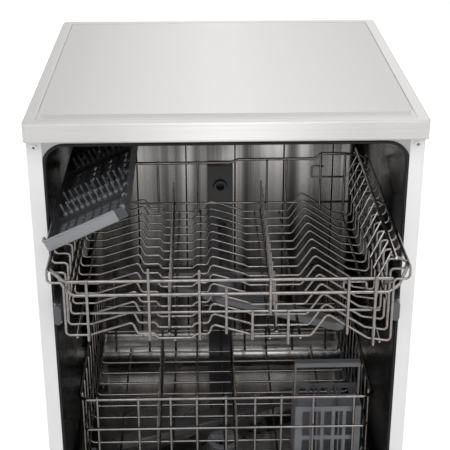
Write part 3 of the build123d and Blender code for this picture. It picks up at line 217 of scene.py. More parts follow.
def round_wire(route, thickness, sides):
    """A round wire: route(i) + r(i) (cos 2 pi k/n side + sin 2 pi k/n up(i)), with r falling to zero over a
    dome at both ends."""
    r = thickness / 2
    last_ring = 0.86
    rise = np.array([0.5, 1.0]) * math.pi / 2 * last_ring
    tangent = directions(route)
    side = plane_normal(route)
    centres = np.concatenate(
        [
            route[0] - tangent[0] * r * np.sin(rise[::-1, None]),
            route,
            route[-1] + tangent[-1] * r * np.sin(rise[:, None]),
        ]
    )
    ways = np.concatenate([tangent[:1], tangent[:1], tangent, tangent[-1:], tangent[-1:]])
    radii = np.concatenate([r * np.cos(rise[::-1]), np.full(len(route), r), r * np.cos(rise)])
    up = np.cross(ways, side)
    angle = np.arange(sides) * 2 * math.pi / sides
    ring = np.cos(angle)[None, :, None] * side + np.sin(angle)[None, :, None] * up[:, None]
    points = (centres[:, None] + radii[:, None, None] * ring).reshape(-1, 3)
    poles = np.array([route[0] - tangent[0] * r, route[-1] + tangent[-1] * r])
    rows = len(centres)
    return np.concatenate([points, poles]), lattice(rows, sides)[:, ::-1], fans(rows, sides)[:, ::-1]


def carried(route, outline, across, up):
    """A closed outline carried along a route: route(i) + outline(k)[0] across(i) + outline(k)[1] up(i),
    with flat ends."""
    outline = np.asarray(outline, float)
    across = np.broadcast_to(across, route.shape)
    up = np.broadcast_to(up, route.shape)
    points = route[:, None] + outline[None, :, :1] * across[:, None] + outline[None, :, 1:] * up[:, None]
    rows, columns = points.shape[:2]
    middles = points[[0, -1]].mean(1)
    return np.concatenate([points.reshape(-1, 3), middles]), lattice(rows, columns), fans(rows, columns)


def turned(profile, sides):
    """A profile of (r, h) turned about the Z axis: (r cos a, r sin a, h), from a pole on the axis to a pole
    on the axis."""
    profile = np.asarray(profile, float)
    angle = np.arange(sides) * 2 * math.pi / sides
    rim = profile[1:-1]
    height = np.broadcast_to(rim[:, 1:], (len(rim), sides))
    points = np.stack([rim[:, :1] * np.cos(angle), rim[:, :1] * np.sin(angle), height], -1).reshape(-1, 3)
    poles = np.array([[0, 0, profile[0, 1]], [0, 0, profile[-1, 1]]])
    return np.concatenate([points, poles]), lattice(len(rim), sides), fans(len(rim), sides)


def rounded_outline(width, height, radius, steps=5):
    """A rectangle about its middle, whose corners are arcs: corner centre + radius (cos t, sin t)."""
    corner = np.linspace(0, math.pi / 2, steps)
    points = []
    for k, (x, y) in enumerate(((1, 1), (-1, 1), (-1, -1), (1, -1))):
        t = corner + k * math.pi / 2
        middle = (x * (width / 2 - radius), y * (height / 2 - radius))
        points.append(np.stack([middle[0] + radius * np.cos(t), middle[1] + radius * np.sin(t)], -1))
    return np.concatenate(points)


def placed(shape, spots, turn):
    """Copies of a shape, turned by a 3 by 3 matrix and moved to each spot."""
    points, quads, tris = shape
    spots = np.asarray(spots, float)
    shift = (np.arange(len(spots)) * len(points))[:, None, None]
    return (
        (spots[:, None] + points @ turn.T).reshape(-1, 3),
        (quads + shift).reshape(-1, 4),
        (tris + shift).reshape(-1, 3),
    )


def joined(shapes):
    """One shape out of several."""
    shapes = list(shapes)
    shift = np.cumsum([0] + [len(s[0]) for s in shapes[:-1]])
    return (
        np.concatenate([s[0] for s in shapes]),
        np.concatenate([s[1] + n for s, n in zip(shapes, shift)]),
        np.concatenate([s[2] + n for s, n in zip(shapes, shift)]),
    )


def piece(name, shape, body, material, stands_for=(), crease=40.0):
    """A mesh of a shape, which rides on a body and may stand for nodes of the frame. Edges that turn by
    more than the crease, in degrees, stay sharp."""
    points, quads, tris = shape
    mesh = bpy.data.meshes.new(name)
    mesh.from_pydata((points * MM).tolist(), [], quads.tolist() + tris.tolist())
    mesh.update()
    mesh.polygons.foreach_set("use_smooth", np.ones(len(mesh.polygons), bool))
    mesh.set_sharp_from_angle(angle=math.radians(crease))
    mesh.materials.append(material)
    made = bpy.data.objects.new(name, mesh)
    bpy.context.scene.collection.objects.link(made)
    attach(made, body)
    if stands_for:
        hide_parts(*stands_for)


# Finishes


def fill(node, **values):
    """Constant values on a node's own sockets. Low lines stand for the spaces in their names."""
    for key, value in values.items():
        node.inputs[key.replace("_", " ")].default_value = value


class Recipe:
    """The node tree of a material or of the surroundings, with short ways to add and join nodes."""

    def __init__(self, owner):
        owner.use_nodes = True
        self.material = owner
        self.tree = owner.node_tree
        self.shader = self.tree.nodes.get("Principled BSDF")
        self.places = self.add("ShaderNodeTexCoord").outputs

    def add(self, kind, **settings):
        """A node with its settings."""
        node = self.tree.nodes.new(kind)
        for key, value in settings.items():
            setattr(node, key, value)
        return node

    def join(self, source, target):
        """A link between two sockets."""
        self.tree.links.new(source, target)

    def drive(self, **sources):
        """Values that vary over the surface, led to the shader's sockets."""
        for key, source in sources.items():
            self.join(source, self.shader.inputs[key.replace("_", " ")])

    def noise(self, scale, stretch=(1, 1, 1), detail=4.0, rough=0.55):
        """Noise on object coordinates, stretched along the axes."""
        mapping = self.add("ShaderNodeMapping")
        fill(mapping, Scale=stretch)
        self.join(self.places["Object"], mapping.inputs["Vector"])
        noise = self.add("ShaderNodeTexNoise")
        fill(noise, Scale=scale, Detail=detail, Roughness=rough)
        self.join(mapping.outputs["Vector"], noise.inputs["Vector"])
        return noise.outputs["Fac"]

    def between(self, source, low, high, start=0.3, end=0.7, kind="LINEAR"):
        """A value mapped from the range of start to end to the range of low to high."""
        node = self.add("ShaderNodeMapRange", interpolation_type=kind)
        fill(node, From_Min=start, From_Max=end, To_Min=low, To_Max=high)
        self.join(source, node.inputs["Value"])
        return node.outputs["Result"]

    def colours(self, source, stops):
        """A colour ramp over a value, with stops of a position and a colour."""
        node = self.add("ShaderNodeValToRGB")
        elements = node.color_ramp.elements
        while len(elements) < len(stops):
            elements.new(0.5)
        for element, (position, colour) in zip(elements, stops):
            element.position = position
            element.color = (*colour, 1)
        self.join(source, node.inputs["Fac"])
        return node.outputs["Color"]

    def shades(self, source, colour, *stops):
        """A colour ramp over a value, with stops of a position and a factor on one colour."""
        return self.colours(source, [(position, tint(colour, factor)) for position, factor in stops])

    def calc(self, operation, *values):
        """A calculation with one or two values, each of them a number or a socket."""
        node = self.add("ShaderNodeMath", operation=operation)
        for socket, value in zip(node.inputs, values):
            if isinstance(value, (int, float)):
                socket.default_value = value
            else:
                self.join(value, socket)
        return node.outputs["Value"]

    def chain(self, operation, values):
        """A calculation taken from value to value."""
        return reduce(lambda first, second: self.calc(operation, first, second), values)

    def times(self, *values):
        """The product of several values."""
        return self.chain("MULTIPLY", values)

    def plus(self, *values):
        """The sum of several values."""
        return self.chain("ADD", values)

    def minus(self, first, second):
        """The first value less the second."""
        return self.calc("SUBTRACT", first, second)

    def gap(self, value, middle):
        """How far a value lies from another, whichever side it is on."""
        return self.calc("ABSOLUTE", self.minus(value, middle))

    def seen(self):
        """One for a ray from the camera, from a mirror or through glass, and zero for all others."""
        rays = self.add("ShaderNodeLightPath").outputs
        kinds = ("Is Camera Ray", "Is Glossy Ray", "Is Transmission Ray")
        return self.chain("MAXIMUM", [rays[kind] for kind in kinds])

    def axes(self, output="Object"):
        """The three coordinates of a place, or of a normal, as separate values."""
        split = self.add("ShaderNodeSeparateXYZ")
        self.join(self.places[output], split.inputs["Vector"])
        return split.outputs

    def toned(self, colour, factor):
        """The shader's colour: three numbers or a socket, multiplied by a factor."""
        node = self.add("ShaderNodeVectorMath", operation="SCALE")
        if isinstance(colour, tuple):
            node.inputs[0].default_value = colour
        else:
            self.join(colour, node.inputs[0])
        self.join(factor, node.inputs["Scale"])
        self.drive(Base_Color=node.outputs["Vector"])

    def bump(self, height, depth, strength=1.0, edges=0.0):
        """Height in the shader's normal, over edges that catch the light as if rounded by a radius."""
        node = self.add("ShaderNodeBump")
        fill(node, Strength=strength, Distance=depth)
        self.join(height, node.inputs["Height"])
        self.drive(Normal=node.outputs["Normal"])
        if edges:
            bevel = self.add("ShaderNodeBevel", samples=4)
            fill(bevel, Radius=edges)
            self.join(bevel.outputs["Normal"], node.inputs["Normal"])


def recipe(name):
    """The recipe of a new material."""
    return Recipe(bpy.data.materials.new(name))


def tint(colour, factor):
    """A colour made lighter or darker."""
    return tuple(min(1.0, c * factor) for c in colour)


def plastic(name, colour, roughness):
    """Moulded plastic: a faint colour drift, fine spark-eroded grain and soft edges."""
    r = recipe(name)
    r.drive(
        Base_Color=r.shades(r.noise(9.0, detail=3.0), colour, (0.3, 0.93), (0.7, 1.06)),
        Roughness=r.between(r.noise(45.0), roughness * 0.88, roughness * 1.12),
    )
    r.bump(r.noise(900.0, detail=2.0), 0.06 * MM, 0.5, edges=0.6 * MM)
    return r.material


def enamel(name, colour):
    """Stoved enamel: a smooth coat whose colour and gloss drift faintly."""
    r = recipe(name)
    r.drive(
        Base_Color=r.shades(r.noise(3.0, detail=2.0), colour, (0.3, 0.985), (0.7, 1.01)),
        Roughness=r.between(r.noise(30.0, detail=1.0), 0.30, 0.36),
    )
    return r.material


def silver_plastic(name, colour):
    """Satin silver moulding: fine streaks drawn out from left to right, with a broad painted highlight in
    the middle of its upright faces and painted shade that darkens its upper side."""
    r = recipe(name)
    streaks = r.noise(260.0, stretch=(0.02, 1, 1), detail=3.0)
    # Painted highlight: the colour is lifted to 1.34 in the middle and falls to 0.93 towards the ends.
    painted_highlight = r.between(r.calc("ABSOLUTE", r.axes()["X"]), 1.34, 0.93, 0.0, 0.22, "SMOOTHSTEP")
    upper = r.between(r.axes("Normal")["Z"], 0.0, 1.0, 0.5, 0.9)
    # Painted shade: faces that look upwards lose the painted highlight and are darkened to 0.79.
    darker = r.times(upper, r.minus(painted_highlight, 0.79))
    r.toned(r.shades(streaks, colour, (0.3, 0.95), (0.7, 1.04)), r.minus(painted_highlight, darker))
    r.drive(Roughness=r.between(streaks, 0.30, 0.44))
    r.bump(streaks, 0.02 * MM, 0.5, edges=4.0 * MM)
    fill(r.shader, Metallic=0.4)
    return r.material


def laminate(name, colour):
    """Laminate board: a fine pebbled surface with a faint fleck, and a painted highlight in its middle that
    leaves it darker towards its left and right ends.
    """
    r = recipe(name)
    fleck = r.noise(380.0, detail=5.0, rough=0.7)
    # Painted highlight: the colour is 1.08 in the middle and falls to 0.8 towards the left and right ends.
    ends = r.between(r.calc("ABSOLUTE", r.axes()["X"]), 1.08, 0.8, 0.02, 0.26)
    r.toned(r.shades(fleck, colour, (0.35, 0.95), (0.65, 1.03)), ends)
    r.drive(Roughness=r.between(fleck, 0.36, 0.5))
    r.bump(fleck, 0.05 * MM, 0.5, edges=0.5 * MM)
    return r.material


def rolled_steel(name, colour, low, high, drawn, waviness):
    """Rolled stainless sheet: grain drawn out along an axis, gloss in patches between two values of
    roughness, and a slow waviness of the pressed sheet."""
    r = recipe(name)
    grain = r.noise(520.0, stretch=drawn, detail=3.0)
    gloss = r.plus(r.times(grain, 0.45), r.times(r.noise(7.0, detail=3.0), 0.55))
    r.drive(
        Base_Color=r.shades(r.noise(18.0, stretch=drawn), colour, (0.3, 0.86), (0.7, 1.1)),
        Roughness=r.between(gloss, low, high, 0.35, 0.65),
    )
    r.bump(r.plus(r.noise(11.0, detail=1.0), r.times(grain, 0.02)), waviness)
    fill(r.shader, Metallic=1.0)
    return r.material


def tub_steel(name, colour):
    """Bright annealed tub sheet. The flange is even and light. Inside, the sheet has upright bands from its
    rolling, and painted shade that darkens it low down and on the side walls. The rear wall has an upright
    crease every 98 mm from x = 30 mm on, dented into the bump and painted dark as shade, and a painted
    highlight line where it meets the plain floor."""
    pitch, first_crease, highlight_line_height = 98, 30, 0.1835
    r = recipe(name)
    x, y, z = r.axes().values()
    wide = r.noise(24.0, stretch=(1, 1, 0.015), detail=1.5)
    fine = r.noise(260.0, stretch=(1, 1, 0.01), detail=3.0)
    tone = r.between(r.plus(r.times(wide, 0.85), r.times(fine, 0.15)), 0.2, 1.15, 0.38, 0.62)
    # Painted shade: the side walls are darkened to 0.24.
    side = r.between(r.calc("ABSOLUTE", x), 1.0, 0.24, 0.248, 0.273)
    # Painted shade: the walls darken towards the bottom, to 0.42 below z = 0.36 m.
    depth = r.between(z, 0.42, 1.0, 0.36, 0.64)
    low = r.between(z, 1.0, 0.0, 0.178, 0.182)
    high = r.minus(1.0, low)
    rear = r.between(y, 0.0, 1.0, (POSTS + 512) * MM, (POSTS + 518) * MM)
    front = r.between(y, 0.0, 1.0, (POSTS + 2.6) * MM, (POSTS + 5) * MM)
    # The fraction of this is a half on a crease. The nine steps keep it above zero.
    steps = r.calc("DIVIDE", r.plus(x, (pitch * 9.5 - first_crease) * MM), pitch * MM)
    # Painted shade in the creases: the walls' colour falls to black along each crease, which is also dented
    # into the bump.
    creases = r.times(r.between(r.gap(r.calc("FRACT", steps), 0.5), 1.0, 0.0, 0.006, 0.02), rear, high)
    # Painted highlight: a bright line, up to 1.6 times the colour, along the foot of the rear wall.
    painted_highlight_line = r.between(r.gap(z, highlight_line_height), 1.6, 0.0, 0.0008, 0.0034)
    walls = r.times(tone, depth, r.minus(1.0, creases), high)
    floor = r.times(r.between(fine, 0.68, 0.78), low)
    inside = r.times(r.plus(walls, floor, r.times(painted_highlight_line, rear)), side)
    flange = r.times(r.minus(1.0, front), 0.66)
    r.toned(colour, r.plus(r.times(inside, front), flange))
    r.drive(Roughness=r.between(r.noise(7.0, detail=3.0), 0.14, 0.3, 0.35, 0.65))
    height = r.plus(r.noise(11.0, detail=1.0), r.times(fine, 0.02))
    r.bump(r.minus(height, creases), 0.3 * MM)
    fill(r.shader, Metallic=1.0)
    return r.material


def wire_coat(name, colour):
    """Bright coat on wire: slightly uneven gloss and darker specks where the coat is thin."""
    r = recipe(name)
    r.drive(
        Base_Color=r.shades(r.noise(160.0), colour, (0.28, 0.72), (0.5, 1.0), (0.75, 1.15)),
        Roughness=r.between(r.noise(90.0), 0.1, 0.2),
    )
    r.bump(r.noise(700.0, detail=2.0), 0.02 * MM, 0.3)
    fill(r.shader, Metallic=1.0)
    return r.material


def rubber(name, colour):
    """Black rubber: a dull bloom in patches over a fine grain."""
    r = recipe(name)
    bloom = r.noise(38.0, detail=5.0)
    r.drive(
        Base_Color=r.shades(bloom, colour, (0.35, 1.0), (0.75, 2.4)),
        Roughness=r.between(bloom, 0.42, 0.66),
    )
    r.bump(r.noise(800.0, detail=2.0), 0.05 * MM, 0.4)
    fill(r.shader, Specular_IOR_Level=0.22)
    return r.material


def screw_steel(name, colour):
    """Screw head: a light ring round painted shade in a dish and in a cross recess, from the distances
    across the head's axis, above it and away from it."""
    r = recipe(name)
    x, _, z = r.axes().values()
    across = r.gap(r.calc("ABSOLUTE", x), SCREWS[0] * MM)
    above = r.gap(z, SCREWS[1] * MM)
    away = r.calc("POWER", r.plus(r.times(across, across), r.times(above, above)), 0.5)
    # Painted shade: the dish darkens to 0.55 at the middle of the head.
    dish = r.between(away, 0.55, 1.0, 2.3 * MM, 2.9 * MM)
    beside_arms = r.between(r.calc("MINIMUM", across, above), 0.0, 1.0, 0.3 * MM, 0.6 * MM)
    past_arms = r.between(away, 0.0, 1.0, 1.9 * MM, 2.1 * MM)
    # Painted shade: the cross recess darkens to 0.1.
    recess = r.plus(r.times(r.calc("MAXIMUM", beside_arms, past_arms), 0.9), 0.1)
    r.toned(colour, r.times(dish, recess))
    r.drive(Roughness=r.between(r.noise(300.0), 0.3, 0.42))
    fill(r.shader, Metallic=0.6)
    return r.material


def sieve_steel(name, colour):
    """Steel sheet with rows of fine round holes: dark where the distance to the nearest centre of a square
    grid is less than about a third of its pitch."""
    pitch, dark = 3.2 * MM, (0.01, 0.01, 0.01)
    r = recipe(name)
    cells = r.add("ShaderNodeMapping")
    fill(cells, Scale=(1 / pitch, 1 / pitch, 0))
    r.join(r.places["Object"], cells.inputs["Vector"])
    part = r.add("ShaderNodeVectorMath", operation="FRACTION")
    r.join(cells.outputs["Vector"], part.inputs[0])
    centre = r.add("ShaderNodeVectorMath", operation="DISTANCE")
    centre.inputs[1].default_value = (0.5, 0.5, 0)
    r.join(part.outputs["Vector"], centre.inputs[0])
    sheet = r.between(centre.outputs["Value"], 0.0, 1.0, 0.28, 0.34)
    r.drive(
        Base_Color=r.colours(sheet, [(0.0, dark), (1.0, colour)]),
        Roughness=r.between(r.noise(300.0), 0.26, 0.4),
        Metallic=sheet,
    )
    r.bump(sheet, 0.4 * MM, 0.8)
    return r.material


# Each moulding's colour among the finishes, a factor on it, and its roughness.
MOULDINGS = {
    "grey": ("grey", 1.0, 0.42),
    "light": ("light", 1.0, 0.4),
    "dark": ("dark", 1.0, 0.36),
    "duct": ("dark", 1.5, 0.4),
    "tine": ("dark", 2.8, 0.34),
    "pad": ("dark", 2.3, 0.34),
    "arm": ("grey", 0.5, 0.36),
}
FINISH = {}


def finishes():
    """All materials, made once from the colours that the user sets."""
    if FINISH:
        return FINISH
    group = bpy.context.scene.dishwasher_finishes
    own = {key: tuple(getattr(group, key)) for key in Finishes.__annotations__}
    FINISH.update(
        enamel=enamel("enamel", own["enamel"]),
        silver=silver_plastic("worktop_moulding", own["silver"]),
        laminate=laminate("worktop_laminate", own["laminate"]),
        tub=tub_steel("tub_sheet", own["steel"]),
        liner=rolled_steel("liner_sheet", own["steel"], 0.2, 0.36, (1, 0.02, 1), 0.35 * MM),
        fittings=rolled_steel("fittings_steel", (0.55, 0.55, 0.55), 0.3, 0.48, (1, 1, 0.05), 0.05 * MM),
        rail=rolled_steel("rail_steel", (0.6, 0.6, 0.6), 0.22, 0.36, (1, 0.02, 1), 0.05 * MM),
        spring=rolled_steel("spring_steel", (0.32, 0.32, 0.33), 0.28, 0.4, (1, 1, 1), 0.02 * MM),
        wire=wire_coat("wire_coat", own["wire"]),
        prong=wire_coat("prong_wire", tint(own["wire"], 2.2)),
        white=plastic("white_moulding", (0.82, 0.825, 0.83), 0.34),
        black=plastic("pump_moulding", (0.02, 0.02, 0.022), 0.5),
        rubber=rubber("seal_rubber", own["rubber"]),
        screw=screw_steel("screw_steel", (0.72, 0.72, 0.73)),
        sieve=sieve_steel("filter_sieve", (0.55, 0.55, 0.55)),
    )
    for short, (key, factor, roughness) in MOULDINGS.items():
        FINISH[short] = plastic(short + "_moulding", tint(own[key], factor), roughness)
    return FINISH


# The frame's nodes that keep their shape, by their finish.
NODE_FINISH = {
    "enamel": ("side_panel_left", "side_panel_right", "plinth", "door_outer_panel"),
    "silver": ("worktop_frame",),
    "laminate": ("worktop_board",),
    "tub": ("tub",),
    "liner": ("door_liner",),
    "screw": ("post_screws",),
    "fittings": ("rear_panel", "latch_striker", "hinge_brackets", "hinge_arms", "door_latch"),
    "rail": ("upper_rails",),
    "grey": (
        "roller_brackets", "basket_rollers_front", "basket_rollers_rear", "wheel_carriers", "wheels_front",
        "wheels_rear", "dispenser_lid", "rinse_aid_cap", "cutlery_basket",
    ),
    "arm": ("upper_spray_arm", "lower_spray_arm", "rail_caps"),
    "light": (
        "rail_carriers", "dispenser_body", "power_button", "programme_button", "start_button", "filter_cup",
        "salt_container",
    ),
    "duct": ("water_duct",),
    "dark": (
        "base_tray", "sump", "upper_feed_pipe", "utensil_tray", "drain_connector", "cable_inlet",
        "foot_front_left", "foot_front_right", "foot_rear_left", "foot_rear_right",
    ),
    "white": ("control_fascia", "inlet_valve", "salt_cap"),
    "black": ("circulation_pump", "drain_pump"),
    "rubber": ("door_seals",),
    "sieve": ("filter_plate",),
}


def paint(node, material):
    """One material on a node of the frame."""
    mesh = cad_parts[node].data
    mesh.materials.clear()
    mesh.materials.append(material)
    mesh.polygons.foreach_set("material_index", np.zeros(len(mesh.polygons), np.int32))


# Wires


def wires(runs, thickness, bend=None):
    """Round wires along several runs of points. The thickness is in metres and the bend in millimetres."""
    sizes = bpy.context.scene.dishwasher_wires
    bend = sizes.bend / MM if bend is None else bend
    return joined(round_wire(bent_route(run, bend), thickness / MM, sizes.sides) for run in runs)


def straight(starts, run):
    """Runs of two points that leave each start along the same way."""
    starts = np.asarray(starts, float)
    return list(np.stack([starts, starts + np.asarray(run, float)], 1))


# Half widths of the upper basket at its rim and walls, and the heights of its rim, steps and rails.
RIM, WALL = 261, 238
RIM_TOP, STEP = 666, 650
FRONT_RAILS = (651, 629, 600)
REAR_RAILS = (658, 575)
HOOPS = UPPER_FRONT + np.linspace(0, UPPER_DEPTH, 15)
# The floor of a hoop from left to right: places across and heights.
FLOOR_OUTLINE = (
    (-205, 564), (-141, 584), (-133, 565), (-109, 565.5), (-104, 557), (-54, 557), (-49, 563), (-30, 563),
    (-24, 579), (31, 562), (38, 558), (120, 558), (144, 594), (176, 572), (204, 553),
)
# The wires that run from front to back under the floor: places across and the heights above them.
FLOOR_RUNS = ((-222, 564), (-79, 557), (-40, 563), (60, 558), (105, 558), (222, 549.7))
# Upright wires at the front: place across, foot and head.
FRONT_POSTS = (
    (-205, 557, 654), (-116, 556, 671), (-43, 556, 668), (-4, 566, 641), (34, 555, 602), (60, 598, 654),
    (86.5, 547, 602), (173, 563, 654), (212, 543, 654),
)
# Upright wires at the rear: place across, and how far the head stands above the rail.
REAR_POSTS = ((-205, 0), (-116, 0), (-44, 0), (81, 0), (116, 0), (178, 12), (222, 12))


class DISHWASHER_OT_upper_basket(Operator):
    """Bent wires of the upper basket: hoops, floor runs, rails with their posts, rims, loops and hooks."""

    bl_idname = "dishwasher.upper_basket"
    bl_label = "Upper basket"

    def execute(self, context):
        sizes = context.scene.dishwasher_wires
        finish = finishes()["wire"]
        lap = sizes.wire / MM - WELD
        under = (sizes.wire + sizes.hoop) / 2 / MM - WELD
        section = [
            (-RIM, RIM_TOP), (-RIM, STEP), (-WALL, STEP), (-WALL, 564), *FLOOR_OUTLINE,
            (WALL, 547), (WALL, STEP), (RIM, STEP), (RIM, RIM_TOP),
        ]
        hoops = wires([[(x, y, z) for x, z in section] for y in HOOPS], sizes.hoop, bend=6)
        piece("upper_basket_hoops", hoops, "upper_rack", finish, ("upper_basket",))
        runs = self.runs(lap, under)
        runs = joined([wires(runs, sizes.wire), wires(self.loops(lap), 3.6 * MM, bend=3)])
        piece("upper_basket_runs", runs, "upper_rack", finish)
        rims = wires(self.rims(), sizes.rim, bend=12)
        piece("upper_basket_rims", rims, "upper_rack", finish)
        eyes = [
            [(RIM, y, RIM_TOP), (250, y, 671), (240, y, 676.2), (236, y, 678)]
            for y in (POSTS - 120, POSTS + 90, POSTS + 300)
        ]
        hooks = [
            [(-RIM, y, RIM_TOP), (-264, y, 675)]
            for y in (POSTS - 20, POSTS + 0.6, POSTS + 250, POSTS + 270.6)
        ]
        piece("basket_eyes", wires(eyes + hooks, sizes.wire, bend=4), "upper_rack", finish)
        return {"FINISHED"}

    def runs(self, lap, under):
        """Runs from front to back under the floor and inside the walls, the lowest rails, and the posts."""
        setback = 33
        runs = straight([(x, UPPER_FRONT, z - under) for x, z in FLOOR_RUNS], (0, UPPER_DEPTH, 0))
        places = [(side * (WALL - under), z) for side in (-1, 1) for z in FRONT_RAILS[1:]]
        runs += straight([(x, UPPER_FRONT + setback, z) for x, z in places], (0, UPPER_DEPTH - setback, 0))
        runs += straight([(-WALL, UPPER_BACK, REAR_RAILS[1])], (2 * WALL, 0, 0))
        runs += straight([(-211, UPPER_FRONT, FRONT_RAILS[2])], (430, 0, 0))
        front, back = UPPER_FRONT - lap, UPPER_BACK - lap
        runs += [[(x, front, foot), (x, front, head)] for x, foot, head in FRONT_POSTS]
        runs += [[(x, back, 560), (x, back, REAR_RAILS[0] + rise)] for x, rise in REAR_POSTS]
        return runs

    def loops(self, lap):
        """The small square loops behind the front rails and before the rear rail."""
        y, foot, head = UPPER_FRONT + lap, FRONT_RAILS[1] + 2, FRONT_RAILS[1] + 15
        front = [(166, y, foot), (166, y, head), (199, y, head), (199, y, foot)]
        y, foot, head = UPPER_BACK - lap, 626, 647
        rear = [(222, y, foot), (162, y, foot), (162, y, head), (182, y, head)]
        return [front, rear]

    def rims(self):
        """Both side rims, and the front rails and the rear rail, whose ends bend back to the rims."""
        rims = [[(x, UPPER_FRONT + 6, RIM_TOP), (x, UPPER_BACK - 6, RIM_TOP)] for x in (-RIM, RIM)]
        seat = RIM_TOP - 0.5
        y, (top, second, _) = UPPER_FRONT, FRONT_RAILS
        rims.append(
            [(-RIM, y + 40, RIM_TOP), (-RIM, y + 16, seat), (-WALL + 2, y, top), (WALL - 1, y, top),
             (WALL + 2, y + 5, top - 7), (WALL - 9, y + 11, top - 14)]
        )
        rims.append(
            [(-WALL - 12, y + 26, second + 24), (-WALL - 3, y + 11, second + 12), (-WALL + 12, y, second),
             (WALL - 6, y, second), (WALL + 9, y + 5, second + 9), (RIM, y + 16, seat),
             (RIM, y + 40, RIM_TOP)]
        )
        y, rear = UPPER_BACK, REAR_RAILS[0]
        rims.append(
            [(-RIM, y - 40, RIM_TOP), (-RIM, y - 16, seat), (-WALL + 2, y, rear - 4), (13, y, rear - 4),
             (30, y, rear + 2), (168, y, rear + 2), (178, y, rear + 12), (223, y, rear + 11),
             (RIM - 6, y, rear + 6), (RIM, y - 40, RIM_TOP)]
        )
        return rims


class DISHWASHER_OT_cup_rack(Operator):
    """Rod and prongs of the folding cup rack."""

    bl_idname = "dishwasher.cup_rack"
    bl_label = "Cup rack"

    def execute(self, context):
        x, count, pitch, length, slope = 240, 12, 35.7, 51, math.radians(66)
        way = np.array([-length * math.cos(slope), 0, -length * math.sin(slope)])
        prongs = straight([(x, POSTS - 107 + pitch * i, 680) for i in range(count)], way)
        rod = [[(x, POSTS - 138, 681), (x, POSTS + 310, 681)]]
        shape = joined([wires(rod, ROD), wires(prongs, 2.4 * MM)])
        piece("cup_rack_wires", shape, "cup_rack", finishes()["prong"], ("cup_rack",))
        return {"FINISHED"}


class DISHWASHER_OT_tines(Operator):
    """Folding rows of tines, each a rod with upright tines."""

    bl_idname = "dishwasher.tines"
    bl_label = "Tine rows"

    def execute(self, context):
        sizes = context.scene.dishwasher_wires
        overhang = 12
        upper_pitch, lower_pitch = UPPER_DEPTH / 14, 40
        upper, lower = UPPER_FRONT + upper_pitch / 2, LOWER_FRONT + 42
        rows = (
            ("upper_tines_left", -88, upper, 561.8, 14, upper_pitch, 60.3),
            ("upper_tines_right", 70, upper, 562.8, 14, upper_pitch, 60.3),
            ("lower_tines_left", -120, lower, 176.8, 10, lower_pitch, 90.3),
            ("lower_tines_right", 20, lower, 176.8, 10, lower_pitch, 90.3),
        )
        for name, x, start, z, count, pitch, height in rows:
            rod = [[(x, start - overhang, z), (x, start + pitch * (count - 1) + overhang, z)]]
            tines = straight([(x, start + pitch * i, z) for i in range(count)], (0, 0, height))
            shape = joined([wires(rod, ROD), wires(tines, sizes.tine)])
            piece(name + "_wires", shape, name, finishes()["wire"], (name,))
        return {"FINISHED"}


# The utensil tray's own axes: across and upwards, along, and square to its floor.
TRAY_TILT = math.radians(25)
FLAT, RISING = math.cos(TRAY_TILT), math.sin(TRAY_TILT)
TRAY_AXES = np.array([[FLAT, 0, -RISING], [0, 1, 0], [RISING, 0, FLAT]])
TRAY_LEAD = 79
TRAY_CORNER = (-264, POSTS - TRAY_LEAD, 672)


def on_tray(points):
    """Places given across, along and above the tilted utensil tray, in the frame's own axes."""
    return np.asarray(points, float) @ TRAY_AXES.T + TRAY_CORNER


